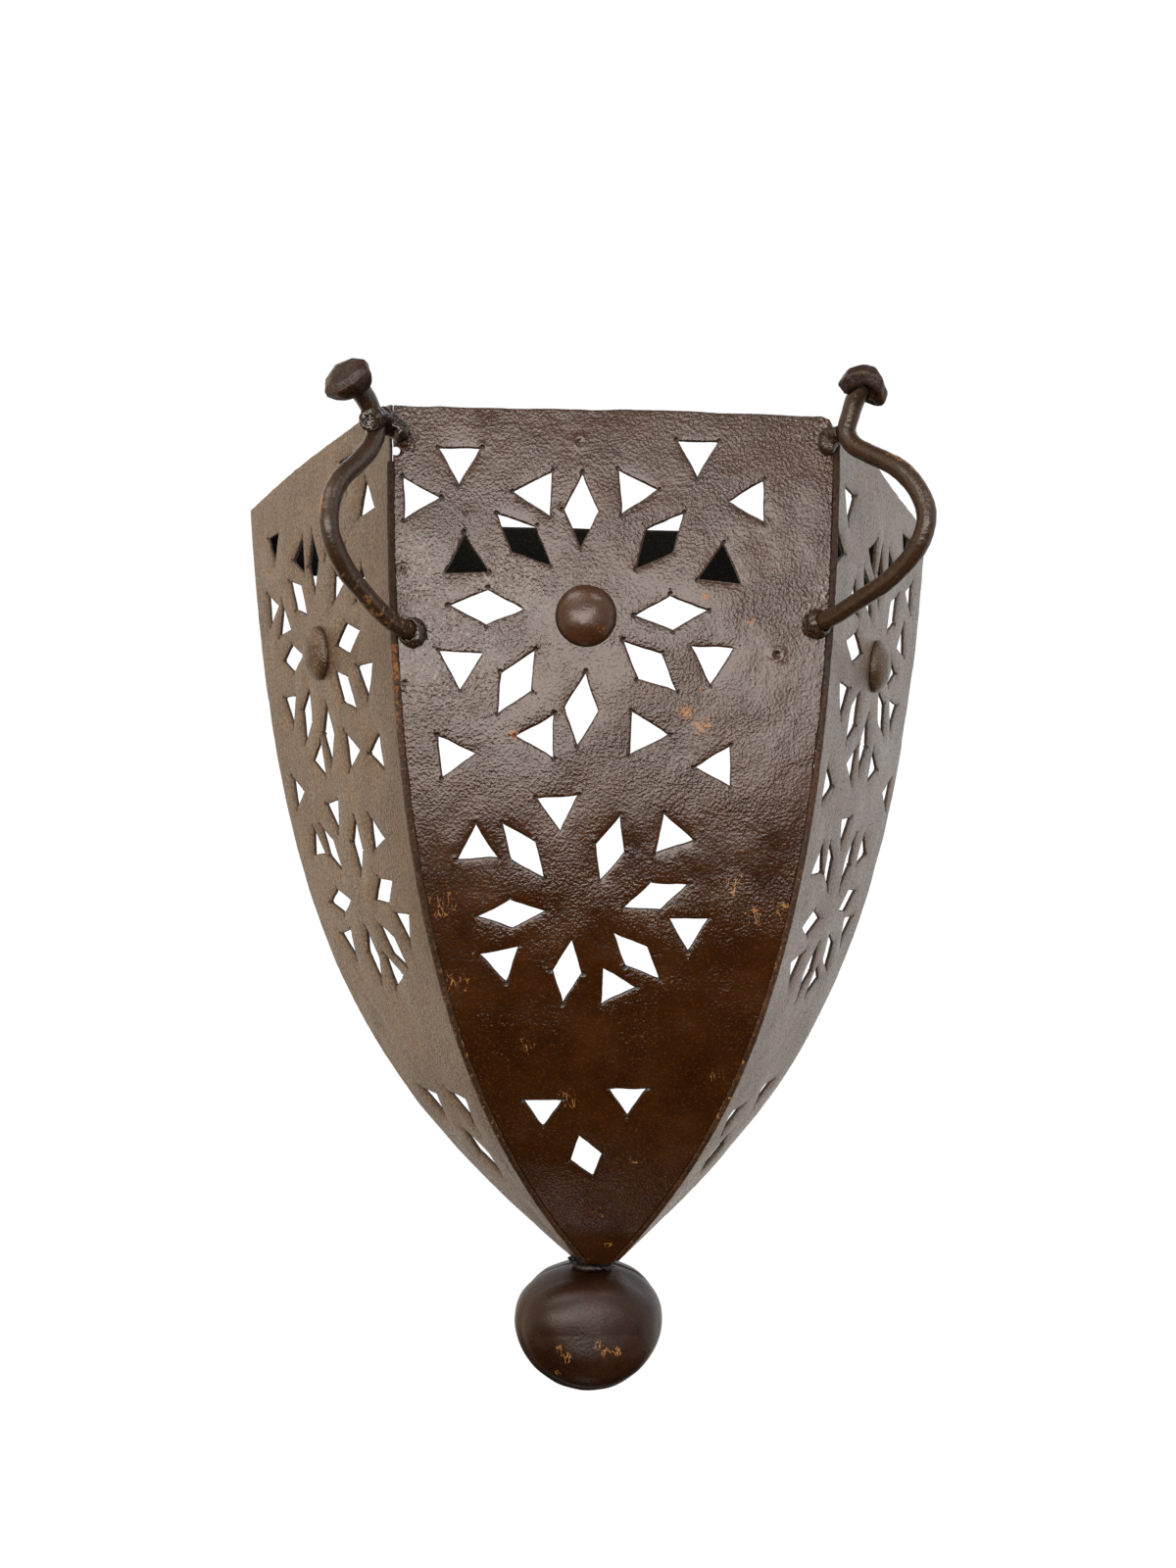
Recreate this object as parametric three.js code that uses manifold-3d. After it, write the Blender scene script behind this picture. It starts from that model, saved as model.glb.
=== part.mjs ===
// Pierced iron wall sconce: three bent sheet panels, two scroll rods with forged heads, a ball at the tip.
// Millimetres. X runs to the right, Y into the wall and Z up. The wall is the plane y = 0, and the origin
// is on the rear face of the strap that hangs on it. The shell is worked out from its rim, at height 0,
// and then lifted as one group.
import * as THREE from "three";
import { mergeVertices } from "three/addons/utils/BufferGeometryUtils.js";
import Module from "manifold-3d";

const wasm = await Module();
wasm.setup();

// Clearance between neighbouring pieces
const gap = 0.3;

// Shell: half a hexagon in plan, whose radius shrinks to a tip
const sheet = 1.2; // thickness of the three panels
const rimRadius = 160; // from the middle of the back to a rear corner, at the rim
const tipRadius = 10.8;
const shellHeight = 332;
const upperPull = [144.5, -202]; // Bezier handles of the profile, as radius and height
const lowerPull = [97.5, -263.5];
const seamSpread = 0.984; // half width of the front panel against half the radius, at the rim and the tip
const seamBulge = 0.06; // how much wider the front panel is half way down
const seamDepth = 0.855; // depth of the front panel against the radius
const tipLean = 28; // how far the tip stands in front of the wall
const tipShift = 2.3; // and how far it stands to the right
const profileSteps = 24;
const topSpare = 0.015; // steps of the profile that a panel reaches above the rim before its edge is cut

// Upper edge of each panel, left to right on the flat sheet: across, and down from the rim
const rimCuts = [
  [[-85, -0.3], [-45, -2], [0, -3], [50, -2.3], [70, -1.6], [80, 0.6]],
  [[-85, 0.7], [-30, 0.6], [15, 0], [54, 0.2], [73.2, 0.5], [76, 1.5], [77.6, 4.6]],
  [[-80, 4.5], [-72, 0.6], [-20, 0.3], [10, 1.8], [50, 2.3], [85, 3]],
];

// Pattern of cut holes, on the flat sheet. Bearings run clockwise from straight up.
const upperCentreDrop = 72.5; // from the rim down to the upper rosette's centre
const lowerCentreDrop = 177.5;
const petalLength = 25.4;
const petalWidth = 12;
const lowerPetalLength = 24.4;
const lowerPetalWidth = 10.6;
const upperTriangleRadius = 8.7; // centre to corner
const lowerTriangleRadius = 8.2;
// Left, front and right panel: how far the pattern is off the middle line, and how much lower its groups
// are
const patternShift = [-1, -10, 0];
const upperDrop = [4, 0, 6];
const lowerDrop = [0.5, 0, 6];
const bottomDrop = [12, 0, 14];

// Each petal: bearing from the rosette's centre, reach to the petal's middle, bearing of its long axis
const upperPetals = [
  [357, 37, 1],
  [44, 37.5, 40],
  [87, 30.5, 85],
  [127, 29, 132],
  [182, 33, 186],
  [226, 34, 210],
  [274, 35, 272],
  [320, 34.5, 313],
];
const lowerPetals = [
  [24, 24, 16],
  [81, 27, 69],
  [133, 27.5, 136],
  [192, 25.5, 187],
  [264, 26, 265],
  [314, 30, 323],
];
// Each triangle: bearing from the rosette's centre, reach to its middle, bearing of its apex
const upperTriangles = [
  [20, 47, 85],
  [70, 51, 5],
  [108, 47.5, 182],
  [153, 46.5, 92],
  [200, 45.5, 270],
  [248, 47.5, 182],
  [294, 46.5, 357],
  [338, 46, 272],
];
const lowerTriangles = [
  [50, 41.5, 101],
  [102, 40, 180],
  [159, 33, 92],
  [235, 36, 168],
  [300, 44, 357],
  [346, 37.5, 175],
];
// Triangles outside the upper ring, on each panel: across, down from the rim, bearing of the apex
const cornerTriangles = [
  [
    [-50, 22, 180],
    [-58, 49, 90],
    [36, 11, 180],
    [54.4, 28, 0],
    [46, 120, 270],
    [-52, 132, 90],
  ],
  [
    [-55, 19, 180],
    [-70, 32.5, 88],
    [29, 14.5, 180],
    [48.7, 31, 268],
    [38.5, 125.5, 268],
    [-57, 122.5, 84],
  ],
  [
    [-57, 25, 180],
    [-68, 45, 90],
    [42, 18, 180],
    [57, 38, 270],
    [58, 130, 270],
    [-49, 131, 90],
  ],
];
// The three holes near the tip: offset across, distance down from the rim
const bottomTriangles = [
  [18.5, 255.5],
  [-14, 260.5],
];
const bottomRhomb = { across: 3, down: 284.5, length: 22.5, width: 12.7, bearing: 165 };

// Small hole that a weld burnt into the front panel beside the left seam: inset from it, down from the rim
const burntHole = { inset: 1.8, down: 16.4, radius: 1.6 };

// Domed studs, riveted through the panels
const studRadius = 10.9;
const studHeight = 6;
const shankRadius = 3;
const tailRadius = 5.2;
const tailHeight = 2.4;

// Scroll rods: each lies in an upright plane. The path is distance out of the front panel's face, and
// height.
const rodRadius = 3.3;
const neckRadius = 3.7;
const rodBearing = 30; // angle of the rod's plane from straight forward, in degrees
// The upper weld starts at the rod, where it has its own reach and height, runs over the seam and ends on
// the front panel. Those two spots are an inset from the seam and a drop from the rim, and each of the
// three has its radius. A head is made of rings about its own axis and centre, in the rod's frame: each
// ring has a radius and a height. The eight corners share the rings, with a reach and a raised rim each.
const scrolls = {
  left: {
    side: -1,
    inset: 7.7, // from the seam to where the rod's plane meets the front panel
    path: [
      [0, -79.5],
      [14, -77.7],
      [29, -71],
      [41, -63],
      [47, -53.5],
      [46, -43.5],
      [41.5, -36],
      [34, -29],
      [27, -21.5],
      [23.9, -15],
      [26.1, -9.6],
      [30.8, -5.4],
      [37.9, -3],
    ],
    upperWeld: { reach: 23.6, height: -13.5, over: [1.2, 9.2], end: [6, 13.4], radii: [3.9, 3.7, 3.5] },
    head: {
      axis: [0.9, 0, 0.43],
      centre: [37.4, -0.4, -3.2],
      rings: [[4.8, -4.2], [7.2, -1.9], [8.9, 1.1], [8.5, 3.2], [5.6, 4.3]],
      reach: [0.97, 1.08, 0.96, 0.97, 1.07, 0.86, 0.9, 1.03],
      raised: [0, 0, 0, 0, 0, 0.6, 0.8, 0],
    },
  },
  right: {
    side: 1,
    inset: 6,
    path: [
      [0, -74],
      [9.8, -72.5],
      [22.7, -68.5],
      [36.3, -63.6],
      [47, -56],
      [50.8, -47.5],
      [48.3, -39],
      [39.4, -28],
      [25, -18.5],
      [19, -14],
      [16, -8.5],
      [17.7, -3.7],
      [20, 1],
      [24.2, 5.8],
    ],
    upperWeld: { reach: 16.5, height: -8.5, over: [2.4, 8.2], end: [3.6, 11.4], radii: [2.8, 3.3, 2.9] },
    head: {
      axis: [-0.06, -0.12, 1],
      centre: [24.2, -0.2, 6.1],
      rings: [[4.2, -3.4], [5.4, -5], [6.7, -4.4], [8.5, -0.8], [6.1, 3.4], [2.8, 5.4]],
      reach: [1.02, 1.04, 1.0, 0.92, 0.88, 0.9, 1.0, 0.94],
      raised: [1.9, 1.9, 0.6, -0.5, -3.2, -4.6, -1.2, 2],
    },
  },
};
const rodSteps = 40;
const rodSides = 14;

// Ball under the tip, made of a front and a rear half shell
const ballWall = 1.5;
const ballHalfWidth = 32.2;
const rearBallHalfWidth = 30.9;
const ballHalfHeight = 26.4;
const ballHalfDepth = 25;
const ballOffset = -4.3; // sideways from the tip
const ballSeat = 2.5; // clear height between the tip and the ball's top, which the weld fills
const ballFullness = 0.125; // how much wider the upper part is than a true oval
const rearBallShift = [1.2, 1.5]; // sideways and upwards: the halves don't quite line up

// Flat bar across the back, with the hole that hangs on a screw
const strapHeight = 25;
const strapThickness = 3;
const strapDrop = 5.2; // from the rim down to its upper edge
const hangingHoleRadius = 3.5;
const hangingHoleDrop = 11.3; // from the strap's upper edge down to the hole's middle
const originRise = 6; // from the strap's lower edge up to the part's origin

// Weld beads
const seamBeadHalfWidth = 1.9;
const seamBeadHeight = 0.8;
const seamBeadDrops = [20, 4.8]; // left and right bead: from the rim down to its start
const seamBeadEnd = 0.984; // step of the profile where both end
const filletRadius = 2.6;
const filletSides = 12;
const lowerWeldRadius = 5.6;

// Patinated iron, brown and darker in front, greyer at the sides, with rust on the welds
const finishes = {
  frontSheet: { color: 0x3f332c, roughness: 0.5, metalness: 0.75 },
  sideSheet: { color: 0x5c5049, roughness: 0.48, metalness: 0.75 },
  stud: { color: 0x4d3c30, roughness: 0.42, metalness: 0.8 },
  rod: { color: 0x4b3728, roughness: 0.5, metalness: 0.75 },
  head: { color: 0x40342b, roughness: 0.45, metalness: 0.8 },
  weld: { color: 0x5c3d27, roughness: 0.7, metalness: 0.55 },
  ball: { color: 0x3a2c24, roughness: 0.48, metalness: 0.75 },
  strap: { color: 0x2c2521, roughness: 0.6, metalness: 0.7 },
};

const radians = Math.PI / 180;
const vector = (x, y, z) => new THREE.Vector3(x, y, z);

function bezier(t) {
  const s = 1 - t;
  const weights = [s * s * s, 3 * s * s * t, 3 * s * t * t, t * t * t];
  const points = [[rimRadius, 0], upperPull, lowerPull, [tipRadius, -shellHeight]];
  const mix = (axis) => points.reduce((sum, p, i) => sum + p[axis] * weights[i], 0);
  return [mix(0), mix(1)];
}

// The four corners of the shell in plan, left to right, at one step of the profile
function cornersAt(t) {
  const [radius, z] = bezier(t);
  const down = -z / shellHeight;
  const half = (radius / 2) * (seamSpread + seamBulge * Math.sin(Math.PI * down));
  const lean = tipLean * down ** 3;
  const front = -radius * seamDepth - lean;
  const middle = tipShift * down ** 3;
  return [
    vector(middle - radius, -lean, z),
    vector(middle - half, front, z),
    vector(middle + half, front, z),
    vector(middle + radius, -lean, z),
  ];
}

// A panel's straight line across at one step: its corners and middle, the way right and the outward normal
function rulingAt(panel, t) {
  const corners = cornersAt(t);
  const left = corners[panel];
  const right = corners[panel + 1];
  const before = cornersAt(t - 0.002);
  const after = cornersAt(t + 0.002);
  const middleOf = (row) => row[panel].clone().add(row[panel + 1]).multiplyScalar(0.5);
  const across = right.clone().sub(left).normalize();
  const down = middleOf(after).sub(middleOf(before)).normalize();
  const normal = down.clone().cross(across).normalize();
  return { left, right, middle: middleOf(corners), across, normal };
}

// How far a panel's square edge stands back from the seam, so that the inner corners of two panels clear
function seamSetback(panel, seam, t) {
  const { across, normal } = rulingAt(panel, t);
  const other = rulingAt(panel === seam ? seam - 1 : seam, t).normal;
  const halfAngle = normal.angleTo(other) / 2;
  const tangent = normal.clone().cross(other).normalize();
  const slant = across.clone().cross(tangent).length();
  return (sheet * Math.sin(halfAngle) + gap / 2 + 0.01) / Math.cos(halfAngle) / slant;
}

// A closed solid from corner positions and triangles, turned the right way out
function closedSolid(positions, faces) {
  const vertProperties = new Float32Array(positions);
  const build = (list) => {
    const triVerts = new Uint32Array(list.flat());
    return new wasm.Manifold(new wasm.Mesh({ numProp: 3, vertProperties, triVerts }));
  };
  const solid = build(faces);
  return solid.volume() > 0 ? solid : build(faces.map(([a, b, c]) => [a, c, b]));
}

// A three.js geometry as a solid, with its shared corners merged
function solidOf(geometry) {
  geometry.deleteAttribute("normal");
  geometry.deleteAttribute("uv");
  const merged = mergeVertices(geometry);
  const index = Array.from(merged.index.array);
  const faces = [];
  for (let i = 0; i < index.length; i += 3) {
    const corners = index.slice(i, i + 3);
    if (new Set(corners).size === 3) faces.push(corners);
  }
  return closedSolid(merged.attributes.position.array, faces);
}

// Joins rings of points into one closed solid. The first and the last ring get flat caps.
function skin(rings) {
  const count = rings[0].length;
  const points = rings.flat();
  const faces = [];
  for (let r = 0; r + 1 < rings.length; r++) {
    for (let i = 0; i < count; i++) {
      const a = r * count + i;
      const b = r * count + ((i + 1) % count);
      faces.push([a, b, a + count], [b, b + count, a + count]);
    }
  }
  for (const [ring, flip] of [[0, true], [rings.length - 1, false]]) {
    const total = rings[ring].reduce((sum, p) => sum.add(p), vector(0, 0, 0));
    const middle = total.divideScalar(count);
    const hub = points.push(middle) - 1;
    for (let i = 0; i < count; i++) {
      const a = ring * count + i;
      const b = ring * count + ((i + 1) % count);
      faces.push(flip ? [b, a, hub] : [a, b, hub]);
    }
  }
  return closedSolid(points.flatMap((p) => [p.x, p.y, p.z]), faces);
}

// A turned shape about the Y axis: the profile lists radius and height, and starts and ends on the axis
function turned(profile, sides) {
  const corners = profile.map(([radius, height]) => new THREE.Vector2(radius, height));
  return new THREE.LatheGeometry(corners, sides);
}

// The turn that stands a shape made about the Y axis along another direction
const standing = (direction) => new THREE.Quaternion().setFromUnitVectors(vector(0, 1, 0), direction);

function stoodAt(solid, point, direction) {
  return solid.transform(new THREE.Matrix4().compose(point, standing(direction), vector(1, 1, 1)).elements);
}

// A ball-like lump with three radii along X, Y and Z
function lump(centre, radii) {
  return solidOf(new THREE.SphereGeometry(1, 16, 10)).scale(radii).translate(centre.toArray());
}

// The largest connected piece of a solid, without the slivers that a cut leaves
function mainPiece(solid) {
  return solid.decompose().reduce((best, s) => (s.volume() > best.volume() ? s : best));
}

// One panel of bent sheet. Grown, it is the space that the panel needs with clearance all round.
function bentSheet(panel, grow = 0) {
  const rings = [];
  for (let i = -1; i <= profileSteps; i++) {
    const t = i < 0 ? -topSpare : i / profileSteps;
    const { left, right, across, normal } = rulingAt(panel, t);
    const leftBack = (panel > 0 ? seamSetback(panel, panel, t) : 0) - grow;
    const rightBack = (panel < 2 ? seamSetback(panel, panel + 1, t) : 0) - grow;
    const a = left.clone().addScaledVector(across, leftBack);
    const b = right.clone().addScaledVector(across, -rightBack);
    const inside = -(sheet + grow);
    rings.push([
      a.clone().addScaledVector(normal, grow),
      b.clone().addScaledVector(normal, grow),
      b.clone().addScaledVector(normal, inside),
      a.clone().addScaledVector(normal, inside),
    ]);
  }
  if (grow > 0) {
    rings[0].forEach((p) => (p.z += grow));
    rings[rings.length - 1].forEach((p) => (p.z -= grow));
  }
  return skin(rings);
}

// Finds the profile step that lies a given distance down the middle of a bent panel
function stepAtDrop(panel, drop) {
  const pieces = 400;
  let length = 0;
  let last = rulingAt(panel, 0).middle;
  if (drop < 0) return drop / pieces / last.distanceTo(rulingAt(panel, 1 / pieces).middle);
  for (let i = 1; i <= pieces; i++) {
    const next = rulingAt(panel, i / pieces).middle;
    const piece = next.distanceTo(last);
    if (length + piece >= drop) return (i - 1 + (drop - length) / piece) / pieces;
    length += piece;
    last = next;
  }
  return 1;
}

// A point of the panel's outer face, from flat sheet measurements, with the normal there
function onSheet(panel, across, drop) {
  const ruling = rulingAt(panel, stepAtDrop(panel, drop));
  return { point: ruling.middle.clone().addScaledVector(ruling.across, across), normal: ruling.normal };
}

// Flat outlines of the holes, before the panel's own shift
function toward(bearing, length) {
  return [Math.sin(bearing * radians) * length, -Math.cos(bearing * radians) * length];
}

const shifted = ([a, b], [c, d]) => [a + c, b + d];

function rhombus(centre, length, width, bearing) {
  return [0, 90, 180, 270].map((turn) =>
    shifted(centre, toward(bearing + turn, (turn % 180 ? width : length) / 2)),
  );
}

function triangle(centre, radius, bearing) {
  return [0, 120, 240].map((turn) => shifted(centre, toward(bearing + turn, radius)));
}

function petalRing(centre, petals, length, width) {
  const at = (bearing, reach) => shifted(centre, toward(bearing, reach));
  return petals.map(([bearing, reach, axis]) => rhombus(at(bearing, reach), length, width, axis));
}

function triangleRing(centre, triangles, radius) {
  const at = (bearing, reach) => shifted(centre, toward(bearing, reach));
  return triangles.map(([bearing, reach, apex]) => triangle(at(bearing, reach), radius, apex));
}

const upperCentre = (panel) => [patternShift[panel], upperCentreDrop + upperDrop[panel]];
const lowerCentre = (panel) => [patternShift[panel], lowerCentreDrop + lowerDrop[panel]];

function holesOf(panel) {
  const bottom = [patternShift[panel], bottomDrop[panel]];
  const { across, down, length, width, bearing } = bottomRhomb;
  return [
    ...petalRing(upperCentre(panel), upperPetals, petalLength, petalWidth),
    ...triangleRing(upperCentre(panel), upperTriangles, upperTriangleRadius),
    ...petalRing(lowerCentre(panel), lowerPetals, lowerPetalLength, lowerPetalWidth),
    ...triangleRing(lowerCentre(panel), lowerTriangles, lowerTriangleRadius),
    ...cornerTriangles[panel].map(([a, d, apex]) => triangle([a, d], lowerTriangleRadius, apex)),
    ...bottomTriangles.map((centre) => triangle(shifted(bottom, centre), lowerTriangleRadius, 180)),
    rhombus(shifted(bottom, [across, down]), length, width, bearing),
  ];
}

// A straight cut through the sheet, with the outline given on the flat sheet
function cutter(panel, outline) {
  const middle = outline.reduce(shifted).map((value) => value / outline.length);
  const { normal } = onSheet(panel, ...middle);
  const ring = (depth) =>
    outline.map(([across, drop]) => onSheet(panel, across, drop).point.addScaledVector(normal, depth));
  return skin([ring(6), ring(-8)]);
}

// Everything above the panel's uneven upper edge
function rimCutter(panel) {
  const edge = rimCuts[panel];
  const above = -30;
  return cutter(panel, [
    [-rimRadius, above],
    [rimRadius, above],
    [rimRadius, edge[edge.length - 1][1]],
    ...[...edge].reverse(),
    [-rimRadius, edge[0][1]],
  ]);
}

const wallDepth = 50;
const wallSide = solidOf(new THREE.BoxGeometry(4 * rimRadius, wallDepth, 4 * shellHeight)).translate([
  0,
  wallDepth / 2,
  0,
]);

// A round hole through a panel, about a point on the flat sheet
function drilled(panel, across, drop, radius) {
  const { point, normal } = onSheet(panel, across, drop);
  return stoodAt(solidOf(new THREE.CylinderGeometry(radius, radius, 10 * sheet, 24)), point, normal);
}

function piercedPanel(panel) {
  const cuts = holesOf(panel).map((outline) => cutter(panel, outline));
  cuts.push(rimCutter(panel), wallSide, drilled(panel, ...upperCentre(panel), shankRadius + gap));
  if (panel === 1) {
    const { inset, down, radius } = burntHole;
    const { left, middle } = rulingAt(panel, stepAtDrop(panel, down));
    cuts.push(drilled(panel, inset - middle.distanceTo(left), down, radius));
  }
  return bentSheet(panel).subtract(wasm.Manifold.union(cuts));
}

// Domed stud with its shank through the panel and its tail peened over inside, from its tail upwards
function studShape() {
  const back = -(sheet + gap);
  const domeSteps = 5;
  const dome = Array.from({ length: domeSteps + 1 }, (_, i) => {
    const angle = (Math.PI / 2) * (1 - i / domeSteps);
    return [studRadius * Math.sin(angle), gap + studHeight * Math.cos(angle)];
  });
  return turned(
    [
      [0, back - tailHeight],
      [tailRadius * 0.4, back - tailHeight],
      [tailRadius * 0.85, back - tailHeight * 0.6],
      [tailRadius, back],
      [shankRadius, back],
      [shankRadius, gap],
      ...dome,
    ],
    24,
  );
}

// The weld bead that fills the corner between two panels. A seam has the number of the panel on its right.
function seamBead(seam, grow = 0) {
  const rings = [];
  const start = stepAtDrop(1, seamBeadDrops[seam - 1]);
  for (let i = 0; i <= profileSteps; i++) {
    const t = start + ((seamBeadEnd - start) * i) / profileSteps;
    const corner = cornersAt(t)[seam];
    const leftNormal = rulingAt(seam - 1, t).normal;
    const rightNormal = rulingAt(seam, t).normal;
    const tangent = leftNormal.clone().cross(rightNormal).normalize();
    const outward = leftNormal.clone().add(rightNormal).normalize();
    const leftWay = leftNormal.clone().cross(tangent).normalize();
    const rightWay = tangent.clone().cross(rightNormal).normalize();
    if (leftWay.dot(rulingAt(seam - 1, t).across) > 0) leftWay.negate();
    if (rightWay.dot(rulingAt(seam, t).across) < 0) rightWay.negate();
    const halfAngle = leftNormal.angleTo(rightNormal) / 2;
    const stem = (sheet * Math.sin(halfAngle)) / Math.cos(halfAngle) - gap / 2;
    const spot = (way, normal, along, off) =>
      corner.clone().addScaledVector(way, along).addScaledVector(normal, off);
    const side = (way, normal) => [
      spot(way, normal, stem, -0.45 * sheet),
      spot(way, normal, stem, gap),
      spot(way, normal, seamBeadHalfWidth + grow, gap - grow),
      spot(way, normal, seamBeadHalfWidth * 0.6 + grow, gap + seamBeadHeight + grow),
    ];
    const crown = corner.clone().addScaledVector(outward, gap + seamBeadHeight + 0.5 + grow);
    rings.push([...side(leftWay, leftNormal), crown, ...side(rightWay, rightNormal).reverse()]);
  }
  return skin(rings);
}

// Space that the panels need, with clearance
const panelSpace = [0, 1, 2].map((panel) => bentSheet(panel, gap));

// The frame of a scroll rod: X runs out of the front panel in the rod's upright plane, and Z is the height
function scrollHolder({ side, inset, path }) {
  const { left, right } = rulingAt(1, stepAtDrop(1, -path[0][1]));
  const seam = side < 0 ? left : right;
  const holder = new THREE.Group();
  holder.position.set(seam.x - side * inset, seam.y, 0);
  holder.rotation.z = (side * rodBearing - 90) * radians;
  holder.updateMatrix();
  return holder;
}

function rodCurve({ path }) {
  const points = path.map(([reach, height]) => vector(reach, 0, height));
  return new THREE.CatmullRomCurve3(points, false, "centripetal");
}

// The swept rod, which thins to a neck under its head
function scrollRod(scroll, grow = 0) {
  const curve = rodCurve(scroll);
  const planeNormal = vector(0, 1, 0);
  const rings = [];
  for (let i = 0; i <= rodSteps; i++) {
    const t = i / rodSteps;
    const tangent = curve.getTangent(t);
    const centre = curve.getPoint(t).addScaledVector(tangent, i === rodSteps ? grow : 0);
    const inPlane = tangent.clone().cross(planeNormal).normalize();
    const slim = THREE.MathUtils.smoothstep(t, 0.78, 0.95);
    const radius = THREE.MathUtils.lerp(rodRadius, neckRadius, slim) + grow;
    rings.push(
      Array.from({ length: rodSides }, (_, k) => {
        const angle = (2 * Math.PI * k) / rodSides;
        return centre
          .clone()
          .addScaledVector(planeNormal, radius * Math.cos(angle))
          .addScaledVector(inPlane, radius * Math.sin(angle));
      }),
    );
  }
  return skin(rings);
}

// Forged head: an uneven lump on an axis of its own, with a blind socket that takes the rod's end.
// Each ring of corners has a radius and a height. Each corner has its own reach, and its rim is raised
// or hangs down, which fades out towards the crown.
function forgedHead(scroll) {
  const { axis, centre, rings, reach, raised } = scroll.head;
  const up = vector(...axis).normalize();
  const front = up.clone().cross(vector(0, 1, 0)).normalize();
  const aside = up.clone().cross(front);
  const crown = rings[rings.length - 1][1];
  const corners = ([radius, height]) =>
    reach.map((share, k) => {
      const angle = (2 * Math.PI * k) / reach.length;
      const lift = raised[k] * Math.min(1, (crown - height) / crown);
      return vector(...centre)
        .addScaledVector(up, height + lift)
        .addScaledVector(aside, radius * share * Math.cos(angle))
        .addScaledVector(front, radius * share * Math.sin(angle));
    });
  return skin(rings.map(corners)).subtract(scrollRod(scroll, gap));
}

// The space that the shell needs near a rod, in the rod's frame: the panels and the bead on its seam
function shellSpace(scroll, holder) {
  const bead = seamBead(scroll.side < 0 ? 1 : 2, gap);
  const toHolder = holder.matrix.clone().invert();
  return wasm.Manifold.union([...panelSpace, bead]).transform(toHolder.elements);
}

// Weld lumps that hold a rod to the shell
function lowerWeld(scroll, taken) {
  const centre = vector(2, 0, scroll.path[0][1]);
  const bead = lump(centre, [lowerWeldRadius * 0.75, lowerWeldRadius, lowerWeldRadius]);
  return mainPiece(bead.subtract(taken));
}

// The upper one runs from the rod over the seam onto the panel, and ends in a blob
function upperWeld(scroll, holder, taken) {
  const { reach, height, over, end, radii } = scroll.upperWeld;
  const toHolder = holder.matrix.clone().invert();
  const onPanel = ([inset, drop]) => {
    const { left, right, across, normal } = rulingAt(1, stepAtDrop(1, drop));
    const seam = scroll.side < 0 ? left : right;
    const spot = seam.clone().addScaledVector(across, -scroll.side * inset);
    return spot.addScaledVector(normal, 1).applyMatrix4(toHolder);
  };
  const stops = [vector(reach - rodRadius / 2, 0, height), onPanel(over), onPanel(end)];
  const steps = 4;
  const lumps = [];
  for (const leg of [0, 1]) {
    for (let i = 0; i <= steps; i++) {
      const radius = THREE.MathUtils.lerp(radii[leg], radii[leg + 1], i / steps);
      lumps.push(lump(stops[leg].clone().lerp(stops[leg + 1], i / steps), [radius, radius, radius]));
    }
  }
  return mainPiece(wasm.Manifold.union(lumps).subtract(taken));
}

// Half a ball about its own middle: a bowl that opens towards the other half
function halfBall(facing, halfWidth, grow = 0) {
  const latitudes = 7;
  const sides = 28;
  const lastLatitude = 0.94; // of a quarter turn, where a small flat closes the bowl
  const bowl = (inset) =>
    Array.from({ length: latitudes }, (_, i) => {
      const angle = (Math.PI / 2) * Math.min(i / (latitudes - 1), lastLatitude);
      return Array.from({ length: sides }, (_, k) => {
        const turn = (2 * Math.PI * k) / sides;
        const fullness = 1 + ballFullness * Math.sin(turn);
        return vector(
          (halfWidth - inset) * Math.cos(angle) * Math.cos(turn) * fullness,
          facing * (gap / 2 + (ballHalfDepth - inset) * Math.sin(angle)),
          (ballHalfHeight - inset) * Math.cos(angle) * Math.sin(turn),
        );
      });
    });
  if (grow > 0) return skin(bowl(-grow));
  return skin([...bowl(ballWall).reverse(), ...bowl(0)]);
}

const ballCentre = vector(tipShift + ballOffset, -tipLean, -(shellHeight + ballSeat + ballHalfHeight));

// Lump that fills the tip of the shell and holds the ball
function tipWeld() {
  const tip = cornersAt(1);
  const centre = vector(0, (tip[0].y + tip[1].y) / 2, -shellHeight - 1);
  const inside = lump(centre.clone().add(vector(0, 1, 4)), [tipRadius, tipRadius * 0.6, 7]);
  const collar = lump(centre, [tipRadius, tipRadius * 0.7, 4]);
  const [rearX, rearZ] = rearBallShift;
  const rearSpace = halfBall(1, rearBallHalfWidth, gap).translate([rearX, 0, rearZ]);
  const ballSpace = halfBall(-1, ballHalfWidth, gap).add(rearSpace).translate(ballCentre.toArray());
  const taken = wasm.Manifold.union([...panelSpace, ballSpace]);
  return mainPiece(inside.add(collar).subtract(taken));
}

// Flat bar across the back, about its own middle
const strapMiddle = vector(0, -strapThickness / 2, -(strapDrop + strapHeight / 2));

function strapBar(grow = 0) {
  const bar = new THREE.BoxGeometry(2 * rimRadius, strapThickness + 2 * grow, strapHeight + 2 * grow);
  return solidOf(bar).translate(strapMiddle.toArray());
}

function strap() {
  const drill = new THREE.CylinderGeometry(hangingHoleRadius, hangingHoleRadius, 2 * strapThickness, 32);
  const hole = solidOf(drill).translate([0, strapMiddle.y, -(strapDrop + hangingHoleDrop)]);
  return mainPiece(strapBar().subtract(wasm.Manifold.union([panelSpace[0], panelSpace[2], hole])));
}

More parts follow.
